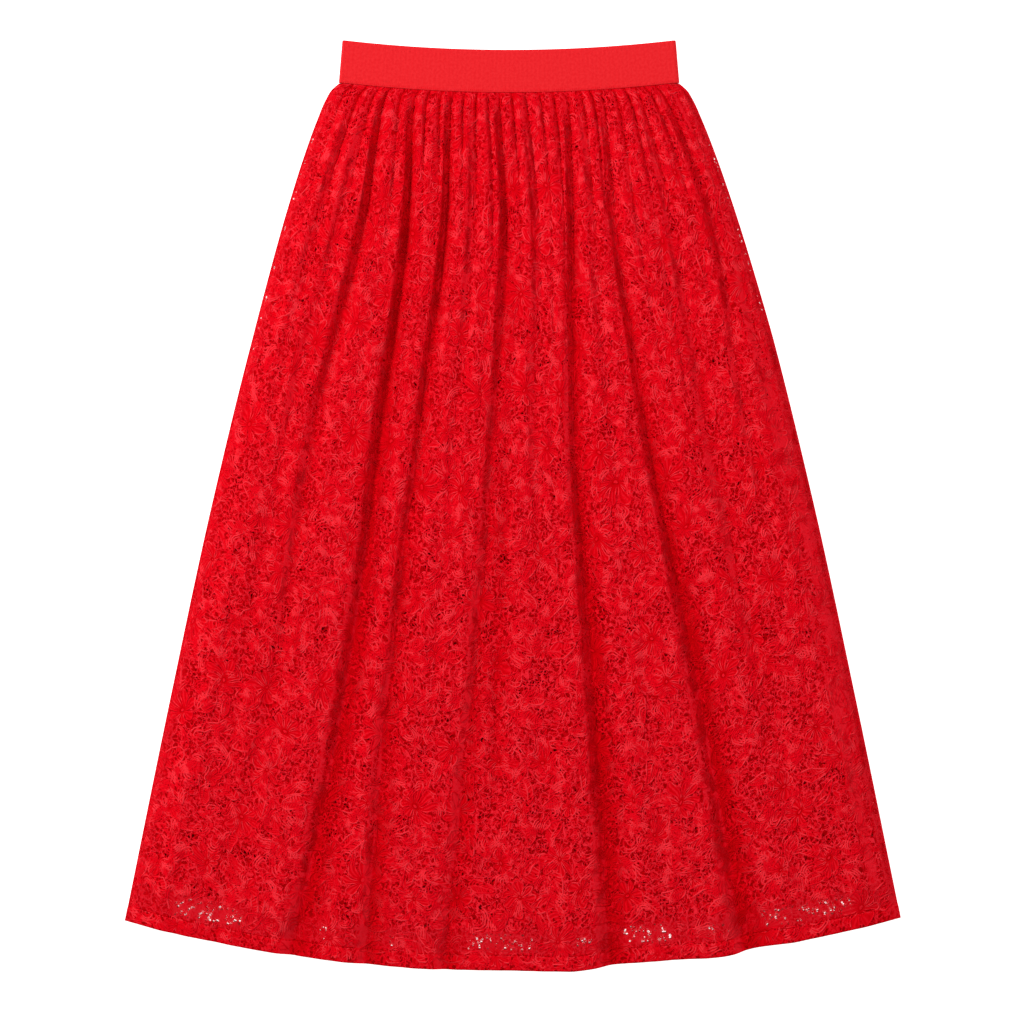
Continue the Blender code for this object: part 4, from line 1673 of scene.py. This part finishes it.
    def ground(self, g: Graph, wound: Socket, kind: Socket, net: Socket) -> Socket:
        """Height of the ground between the motifs: ribs that bend as one, or a net of round cells.

        Args:
            g: the graph.
            wound: the place on the cloth, bent.
            kind: which of the two grounds lies here.
            net: distance to the net's nearest thread.

        Returns:
            The height.
        """
        bed = g.noise(wound, self.rib_bed, 0.0)
        rib = g.scaled(g.wave("SINE", g.times(bed, 2 * math.pi * self.ribs)), *self.rib_relief)
        meshed = g.scaled(g.ramp(net, *self.net_thread_edge), *self.net_relief)
        return g.between(g.ramp(kind, *self.net_edge), rib, meshed)

    def winding(self, g: Graph, curly: Socket) -> Socket:
        """The cords that wind over the ground, in wide loops and lower tight ones."""
        wide = g.ramp(g.cells(curly, self.cord_cell), *self.cord_edge)
        tight = g.ramp(g.cells(curly, self.cord_cell * self.tight_cell), *self.tight_edge)
        return g.higher(wide, g.times(tight, self.tight_height))

    def folded(self, g: Graph, cloth: Socket, height: Socket) -> Socket:
        """Changes a height where the lace is doubled, creased with a painted shadow line, streaked on a
        flank, or darkened by painted shade in a fold.

        Args:
            g: the graph.
            cloth: the place on the cloth.
            height: the height of the pattern.

        Returns:
            The height.
        """
        height = g.between(g.times(g.stored("doubled"), self.double_share), height, self.double_height)
        # Along the hem's crease and edge the height sinks, which grooves the bump and paints a shadow line.
        height = g.times(height, g.scaled(g.stored("creased"), -self.crease_depth_and_shade, 1.0))
        fuzz = g.scaled(g.noise(cloth, self.fuzz_size), self.fuzz, -self.fuzz / 2)
        height = g.math("ADD", height, fuzz)
        flank = g.stored("flank")
        along = g.node("Mapping", {"Vector": cloth, "Scale": (1.0, self.streak_stretch, 1.0)}).outputs[0]
        streak = g.scaled(g.noise(along, self.streak_size), *self.streak_relief)
        height = g.between(g.times(flank, self.flank_share), height, streak)
        # Painted shade on the floors of the folds and between gathers, but not on the flanks.
        return g.times(height, g.scaled(g.times(g.stored("deep"), g.rest(flank)), -self.shade, 1.0))

    def pitted(self, g: Graph, cloth: Socket, wound: Socket, height: Socket, in_petal: Socket) -> Socket:
        """Sinks pits of painted shade into a height, in patches and along the edges of ridges, but not in the
        smooth lip, which gets a painted highlight.

        Args:
            g: the graph.
            cloth: the place on the cloth.
            wound: the same, bent.
            height: the height.
            in_petal: whether the point is in a petal, where pits are faint.

        Returns:
            The height.
        """
        lip = g.stored("lip")
        where = g.higher(g.ramp(g.noise(cloth, self.pit_patch), *self.pits_edge), g.stored("edging"))
        pit = g.times(g.ramp(g.points(wound, self.pit_cell).outputs["Distance"], *self.pit_edge), where)
        pit = g.times(pit, g.rest(g.higher(g.times(in_petal, self.smooth_petal), lip)))
        # The lip is set to a smooth, lighter height: a painted highlight along the ridge's edge.
        height = g.between(g.times(lip, self.lip_share), height, self.lip_highlight_height)
        # The pits' dark colour is painted shade in small holes.
        return g.times(height, g.scaled(pit, -self.pit_depth_and_shade, 1.0))

    def shade_contrasted(self, g: Graph, cloth: Socket, height: Socket) -> Socket:
        """Swings a height further from the middle one towards the hem, more on the right, and less at the
        waist: stronger painted shade and highlight, and bump, to the lower right.

        Args:
            g: the graph.
            cloth: the place on the cloth, right of the middle and below the waist seam.
            height: the height.

        Returns:
            The height.
        """
        right, below, _ = g.parts(cloth)
        aside = g.scaled(g.ramp(right, *self.contrast_right), 0.5, 0.5)
        swing = g.scaled(g.times(g.ramp(below, *self.contrast_below), aside), *self.contrast)
        return g.math("ADD", height, g.times(g.math("SUBTRACT", height, self.middle_height), swing))

    def plain(self, g: Graph, height: Socket) -> Socket:
        """Evens a height where there is no lining, as the light from below does."""
        lit = g.stored("unlined")
        both = g.math("MINIMUM", g.stored("see_through"), lit)
        share = g.times(both, self.plain_open)
        share = g.math("ADD", share, g.times(lit, self.plain_unlined))
        return g.between(share, height, self.plain_height)

    def petal(self, g: Graph) -> tuple[Socket, Socket, Socket]:
        """Height within a flower, whether a point is in it, and whether it is in the groove round it.

        A petal's edge is ((1 + cos(n angle)) / 2) ^ (PETAL_POWER / 2) of the radius away. It has three ribs,
        which are the crests of cos(3 n angle), and a raised rim.

        Args:
            g: the graph.

        Returns:
            The three.
        """
        x, y, count = g.stored_place("in_flower")
        reach = g.math("SQRT", g.math("ADD", g.times(x, x), g.times(y, y)))
        drawn_out = g.scaled(g.math("DIVIDE", x, g.higher(reach, 0.001)), LOPSIDED, 1.0)
        reach = g.math("DIVIDE", reach, drawn_out)
        phase = g.times(g.math("ARCTAN2", y, x), count)
        edge = g.math("POWER", g.scaled(g.math("COSINE", phase), 0.4999, 0.5001), PETAL_POWER / 2)
        within = g.math("SUBTRACT", edge, reach)
        ribs = g.times(g.wave("COSINE", g.times(phase, 3.0)), g.ramp(reach, *self.petal_ribs_edge))
        rim = g.times(g.ramp(within, *self.petal_rim_edge), self.rim_height)
        height = g.times(g.higher(g.scaled(ribs, *self.petal_relief), rim), g.ramp(reach, *self.middle_edge))
        height = g.higher(height, g.times(g.ramp(reach, *self.eye_edge), self.eye_height))
        return height, g.ramp(within, *self.petal_edge), g.ramp(within, *self.petal_groove_edge)

    def leaf(self, g: Graph) -> tuple[Socket, Socket]:
        """Height within a leaf and whether a point is in it.

        The edge is at 2 sqrt(u (1 - u)) (LEAF_WIDTH - LEAF_TAPER u) half widths aside, where u is the share
        along the leaf. Veins run forward from a midrib.

        Args:
            g: the graph.

        Returns:
            The two.
        """
        along, across, _ = g.stored_place("in_leaf")
        aside = g.math("ABSOLUTE", across)
        edge = g.math("SQRT", g.higher(g.times(along, g.rest(along)), 0.0))
        edge = g.times(edge, g.scaled(along, -2 * LEAF_TAPER, 2 * LEAF_WIDTH))
        within = g.math("SUBTRACT", edge, aside)
        forward = g.math("SUBTRACT", along, g.scaled(aside, VEIN_LEAN, VEIN_STARTS[0]))
        veins = g.wave("COSINE", g.times(forward, 2 * math.pi / self.vein_pitch))
        midrib = g.times(g.ramp(aside, *self.midrib_edge), self.rim_height)
        rim = g.times(g.ramp(within, *self.leaf_rim_edge), self.leaf_rim_height)
        height = g.higher(g.higher(g.scaled(veins, *self.leaf_relief), midrib), rim)
        return height, g.ramp(within, *self.leaf_edge)

    def daylight(self, g: Graph) -> Socket:
        """Round holes that line up through both panels, where the "see_through" attribute lets them open.

        The holes are larger where the lace is more open, and in the back panel, so that its rims stay hidden.
        Some cells have none, and thin threads dim some of the others.

        Args:
            g: the graph.

        Returns:
            How clear the hole is, from 0 to 1.
        """
        plan = g.node("TexCoord").outputs["Object"]
        wanted = g.stored("see_through")
        dots = g.points(plan, self.dot_cell)
        size_lot, hole_lot, clear_lot = g.parts(dots.outputs["Color"])
        size = g.scaled(g.stored("below"), self.dot_below, g.scaled(size_lot, *self.dot_relief))
        size = g.math("ADD", size, g.scaled(wanted, *self.dot_open))
        dot = g.ramp(g.math("SUBTRACT", dots.outputs["Distance"], size), self.dot_soft, -self.dot_soft)
        clear = g.scaled(g.ramp(clear_lot, *self.clear_edge), *self.clear_relief)
        dot = g.times(dot, g.times(g.ramp(hole_lot, *self.dots_edge), clear))
        spread = g.ramp(g.noise(plan, self.dot_patch), *self.dot_patch_edge)
        return g.times(dot, g.ramp(g.times(spread, wanted), *self.open_edge))


@dataclass(frozen=True)
class CordFinish:
    """The lace's outlining cord, a loose twist of polyester: painted a little lighter than the net as a
    highlight, darker as shade in folds.
    """

    patch: float = 0.012
    patch_edge: Pair = (0.44, 0.62)
    twist: float = 0.0011
    bump: float = 0.0002
    strength: float = 0.4
    roughness: float = 0.75
    gloss: float = 0.01

    def build(self) -> bpy.types.Material:
        """Makes the material, with the twist as fine slanted lines in its bump."""
        g = Graph("lace_outline_cord")
        cloth = g.cloth()
        patchy = g.ramp(g.noise(cloth, self.patch, 3.0), *self.patch_edge)
        colour = g.blend(patchy, linear(Tone.CORD_DIM), linear(Tone.CORD_WITH_HIGHLIGHT))
        # Painted shade: the cords darken to the shade tone where the stored deep value is high.
        colour = g.blend(g.stored("deep"), colour, linear(Tone.CORD_SHADE))
        twist = g.threads(cloth, self.twist, "DIAGONAL", {"Distortion": 1.0})
        return g.surface(colour, twist, self.bump, self.strength, self.roughness, self.gloss)


@dataclass(frozen=True)
class LiningFinish:
    """Plain woven polyester lining: fine, smooth, dark under the lace."""

    thread: float = 0.0006
    bump: float = 0.0001
    strength: float = 0.4
    roughness: float = 0.6
    gloss: float = 0.05

    def build(self) -> bpy.types.Material:
        """Makes the material: a plain weave as crossed waves, drawn at the finest size that shows."""
        g = Graph("woven_polyester_lining")
        cloth = g.cloth()
        weave = g.times(g.threads(cloth, self.thread, "X"), g.threads(cloth, self.thread, "Y"))
        colour = g.blend(weave, linear(Tone.LINING), linear(Tone.LINING_SHEEN))
        return g.surface(colour, weave, self.bump, self.strength, self.roughness, self.gloss)


@dataclass(frozen=True)
class ElasticFinish:
    """Covered elastic, knitted with fine ribs across the band: matte and even."""

    rib: float = 0.0023
    row: float = 0.0011
    mottle: float = 0.0026
    mottle_edge: Pair = (0.28, 0.72)
    rib_tone: float = 0.15
    rib_height: float = 0.7
    bump: float = 0.00018
    strength: float = 0.5
    roughness: float = 0.8
    gloss: float = 0.10

    def build(self) -> bpy.types.Material:
        """Makes the material: ribs across the band and finer rows along it, with a slight mottle."""
        g = Graph("ribbed_elastic")
        cloth = g.cloth()
        ribs = g.threads(cloth, self.rib, "X", {"Distortion": 0.6, "Detail": 1.0, "Detail Scale": 2.0})
        rows = g.threads(cloth, self.row, "Y")
        mottle = g.ramp(g.noise(cloth, self.mottle, 4.0), *self.mottle_edge)
        tone = g.math("ADD", g.times(ribs, self.rib_tone), g.times(mottle, 1 - self.rib_tone))
        colour = g.blend(tone, linear(Tone.ELASTIC_RIB), linear(Tone.ELASTIC))
        height = g.math("ADD", g.times(ribs, self.rib_height), g.times(rows, 1 - self.rib_height))
        return g.surface(colour, height, self.bump, self.strength, self.roughness, self.gloss)


@dataclass
class Waistband:
    """The elastic waistband: a flattened ring with round side folds and soft edges."""

    wall: float = 0.0020
    face_steps: int = 180
    round_steps: int = 12
    rows: int = 15
    edge_rows: tuple[float, ...] = (0.0, 0.006, 0.014)
    edge: float = 0.0009
    edge_loss: float = 0.7
    sharp: float = 70

    def section(self, around: Array, up: Array, outer: bool) -> Array:
        """A point of the band: two straight runs joined by half circles, tapering from the seam to the top.

        Args:
            around: shares of the way round the ring.
            up: shares of the way up the band.
            outer: whether the point is on the outside.

        Returns:
            Points, one row of three for each place.
        """
        thickness = float(BAND_HIGH[2] - BAND_LOW[2])
        half = CUT.waist_half + (CUT.band_top_half - CUT.waist_half) * up
        radius = (thickness - self.wall) / 2
        straight = half - thickness / 2
        half_way = 2 * straight + np.pi * radius
        length = (around % 1.0) * 2 * half_way
        side = np.where(length < half_way, 1.0, -1.0)
        along = np.where(length < half_way, length, length - half_way)
        on_round = along > 2 * straight
        angle = np.where(on_round, (along - 2 * straight) / radius, 0.0)
        edge = np.minimum(up, 1 - up) * CUT.band_height
        soft = 1 - np.sqrt(np.clip(1 - np.clip(1 - edge / self.edge, 0, 1) ** 2, 0, 1))
        grow = (self.wall / 2) * (1 - self.edge_loss * soft) * (1 if outer else -1)
        reach = radius + grow
        x = CUT.waist_shift + side * np.where(on_round, straight + reach * np.sin(angle), along - straight)
        z = thickness / 2 + side * reach * np.where(on_round, np.cos(angle), 1.0)
        return np.stack([x, CUT.seam_height(x) + up * CUT.band_height, z], axis=-1)

    def build(self) -> bpy.types.Object:
        """Makes the ring as a closed wall.

        Returns:
            The piece, in place of its node.
        """
        straight = 2 * (CUT.waist_half - float(BAND_HIGH[2]) / 2)
        bend = np.pi * (float(BAND_HIGH[2]) - self.wall) / 2
        run = np.concatenate([
            np.arange(self.face_steps) * straight / self.face_steps,
            straight + np.arange(self.round_steps) * bend / self.round_steps,
        ]) / (2 * (straight + bend))
        around = np.concatenate([run, run + 0.5])
        near = np.array(self.edge_rows)
        up = np.concatenate([near, np.linspace(0, 1, self.rows)[1:-1], 1 - near[::-1]])
        a, u = np.meshgrid(around, up)
        outer, inner = self.section(a, u, True), self.section(a, u, False)
        index = np.arange(a.size).reshape(a.shape)
        after = np.roll(index, -1, axis=1)
        wall = np.stack([index[1:], after[1:], after[:-1], index[:-1]], axis=-1).reshape(-1, 4)
        lower = np.stack([after[0], after[0] + a.size, index[0] + a.size, index[0]], axis=-1)
        upper = np.stack([index[-1] + a.size, after[-1] + a.size, after[-1], index[-1]], axis=-1)
        faces = np.concatenate([wall, wall[:, ::-1] + a.size, lower, upper])
        points = np.concatenate([outer.reshape(-1, 3), inner.reshape(-1, 3)])
        piece = new_mesh("waistband_elastic", points, faces)
        piece.data.set_sharp_from_angle(angle=math.radians(self.sharp))
        flat = np.stack([a * 2 * (straight + bend), u * CUT.band_height], axis=-1).reshape(-1, 2)
        set_uv(piece, np.tile(flat, (2, 1)))
        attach(piece, "root")
        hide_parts("waistband")
        return piece


@dataclass(frozen=True)
class Lamp:
    """A soft square light: where it stands, its side, and its power in watts."""

    name: str
    place: tuple[float, float, float]
    size: float
    power: float

    def build(self) -> None:
        """Makes the light, facing the skirt's middle."""
        lamp = bpy.data.objects.new(self.name, bpy.data.lights.new(self.name, "AREA"))
        lamp.data.size = self.size
        lamp.data.energy = self.power
        lamp.location = self.place
        back = np.array(self.place) / np.linalg.norm(self.place)
        lamp.rotation_euler = (math.acos(back[2]), 0.0, math.atan2(back[0], -back[1]))
        bpy.context.scene.collection.objects.link(lamp)


@dataclass(frozen=True)
class Studio:
    """The pale floor, the soft lights and the camera straight above."""

    distance: float = 2.49
    lens: float = 85.0
    view_end: float = 20
    frame_middle: Pair = (-0.0008, -0.0070)
    lamps: tuple[Lamp, ...] = (
        Lamp("key", (-2.60, 1.65, 2.40), 1.1, 95.0),
        Lamp("top", (0.6, 0.9, 2.5), 2.2, 17.0),
    )
    around: float = 0.45
    floor_half: float = 6
    floor_below: float = 0.0004
    floor_glow: float = 0.95
    floor_roughness: float = 0.9
    floor_gloss: float = 0.1

    def build(self) -> None:
        """Makes the camera, the lights, the world and the floor."""
        scene = bpy.context.scene
        scene.view_settings.view_transform = "Standard"
        camera = bpy.data.objects.new("camera", bpy.data.cameras.new("camera"))
        camera.data.lens = self.lens
        camera.data.clip_end = self.view_end
        camera.location = (*self.frame_middle, self.distance)
        scene.collection.objects.link(camera)
        scene.camera = camera
        for lamp in self.lamps:
            lamp.build()
        world = bpy.data.worlds.new("studio")
        world.use_nodes = True
        sky = world.node_tree.nodes["Background"].inputs
        sky["Color"].default_value = (1, 1, 1, 1)
        sky["Strength"].default_value = self.around
        scene.world = world
        self.floor()

    def floor(self) -> None:
        """Makes the floor, a pale board that glows a little so that holes in the lace show it pale."""
        corners = np.array([(-1, -1, 0), (1, -1, 0), (1, 1, 0), (-1, 1, 0)]) * self.floor_half
        board = new_mesh("floor", corners - (0, 0, self.floor_below), np.array([[0, 1, 2, 3]]))
        g = Graph("pale_board")
        shader = g.node("BsdfPrincipled", {
            "Base Color": linear(Tone.FLOOR), "Roughness": self.floor_roughness,
            "Specular IOR Level": self.floor_gloss, "Emission Color": (1, 1, 1, 1),
            "Emission Strength": self.floor_glow,
        }).outputs[0]
        board.data.materials.append(g.finish(shader))


def lace_rows(count: int, bias: float = 0.35, clear: float = 0.004, edge: float = 0.0014) -> Array:
    """Rows that are closer near the waist, with more at the turned-up hem's step and at its edge.

    Args:
        count: how many rows there are before the hem's own are added.
        bias: how much closer they are at the waist.
        clear: how far the others keep from the hem's step.
        edge: how far the last row but one is from the edge.

    Returns:
        Shares of the way down, in order.
    """
    share = np.linspace(0, 1, count)
    rows = bias * share**2 + (1 - bias) * share
    rows = rows[(rows < CUT.hem_start - clear) | (rows > CUT.hem_start + clear)]
    step = CUT.hem_start + np.array([-CUT.hem_step, -CUT.crease, 0.0, CUT.crease, CUT.hem_step])
    return np.unique(np.concatenate([rows[:-1], step, [1 - edge, 1.0]]))


def front_columns(drape: FrontDrape, each: int, usual: float = 0.034) -> Array:
    """Columns of the front panel: the same number between each two valleys, and more in wide gathers.

    Args:
        drape: how the panel lies.
        each: how many columns a gather has.
        usual: the width above which a gather has more.

    Returns:
        Places across the waist seam, in order.
    """
    valleys = drape.valleys()
    runs = []
    for left, right in zip(valleys[:-1], valleys[1:]):
        count = max(each, int(round(each * (right - left) / usual)))
        runs.append(left + (right - left) * np.arange(count) / count)
    return np.concatenate(runs + [np.array([1.0])])


def report(piece: bpy.types.Object) -> None:
    """Logs a piece's name and its number of triangles."""
    piece.data.calc_loop_triangles()
    LOG.info("%s: %d triangles", piece.name, len(piece.data.loop_triangles))


def main() -> None:
    """Builds the studio and the skirt's pieces in order."""
    logging.basicConfig(level=logging.INFO, format="%(name)s %(message)s", stream=sys.stdout)
    Studio().build()
    lace, cord = LaceFinish().build(), CordFinish().build()
    lining, elastic = LiningFinish().build(), ElasticFinish().build()
    see = SeeThrough()

    front_cloth = ClothMap(FrontDrape(), waist_width=0.60, hem_width=0.88)
    motifs = Flowers(width=front_cloth.hem_width, length=front_cloth.flat_length)
    columns = front_columns(front_cloth.drape, 8)
    front = ClothPanel("lace_front_panel", "lace_front", front_cloth, columns, lace_rows(190))
    piece = front.build()
    front.mark(piece, see)
    motifs.mark(piece)
    piece.data.materials.append(lace)
    report(piece)

    work = CordWork(front_cloth, see)
    petals = work.build("lace_flower_cords", [
        (motifs.petal_outlines(), 0.0014, 0.0009), (motifs.petal_ribs(), 0.0010, 0.0006)])
    leaves = work.build("lace_leaf_cords", [
        (motifs.leaf_outlines(), 0.0015, 0.0010), (motifs.leaf_midribs(), 0.0012, 0.0008),
        (motifs.leaf_veins(), 0.0010, 0.0006)])
    curls = work.build("lace_winding_cords", [(motifs.curls(0), 0.0015, 0.0009)])
    loops = work.build("lace_looping_cords", [(motifs.curls(1), 0.0013, 0.0008)])
    sewing = HemStitches()
    hem = work.build("hem_stitches", [(sewing.paths(front_cloth), sewing.width, sewing.height)])
    for cords in (petals, leaves, curls, loops, hem):
        cords.data.materials.append(cord)
        report(cords)

    back_cloth = ClothMap(BackDrape(), waist_width=0.60, hem_width=0.88)
    back = ClothPanel("lace_back_panel", "lace_back", back_cloth, np.linspace(0, 1, 150), lace_rows(120))
    piece = back.build()
    back.mark(piece, see)
    motifs.mark(piece)
    piece.data.materials.append(lace)
    report(piece)

    for layer, node in enumerate(("lining_back", "lining_front")):
        cloth = ClothMap(LiningDrape(layer), waist_width=0.50, hem_width=0.76)
        even = np.linspace(0, 1, 60)
        piece = ClothPanel(node + "_panel", node, cloth, even, even).build()
        piece.data.materials.append(lining)
        report(piece)

    band = Waistband().build()
    band.data.materials.append(elastic)
    report(band)
    stitches = SeamStitches().build()
    stitches.data.materials.append(cord)
    report(stitches)


if __name__ == "__main__":
    main()
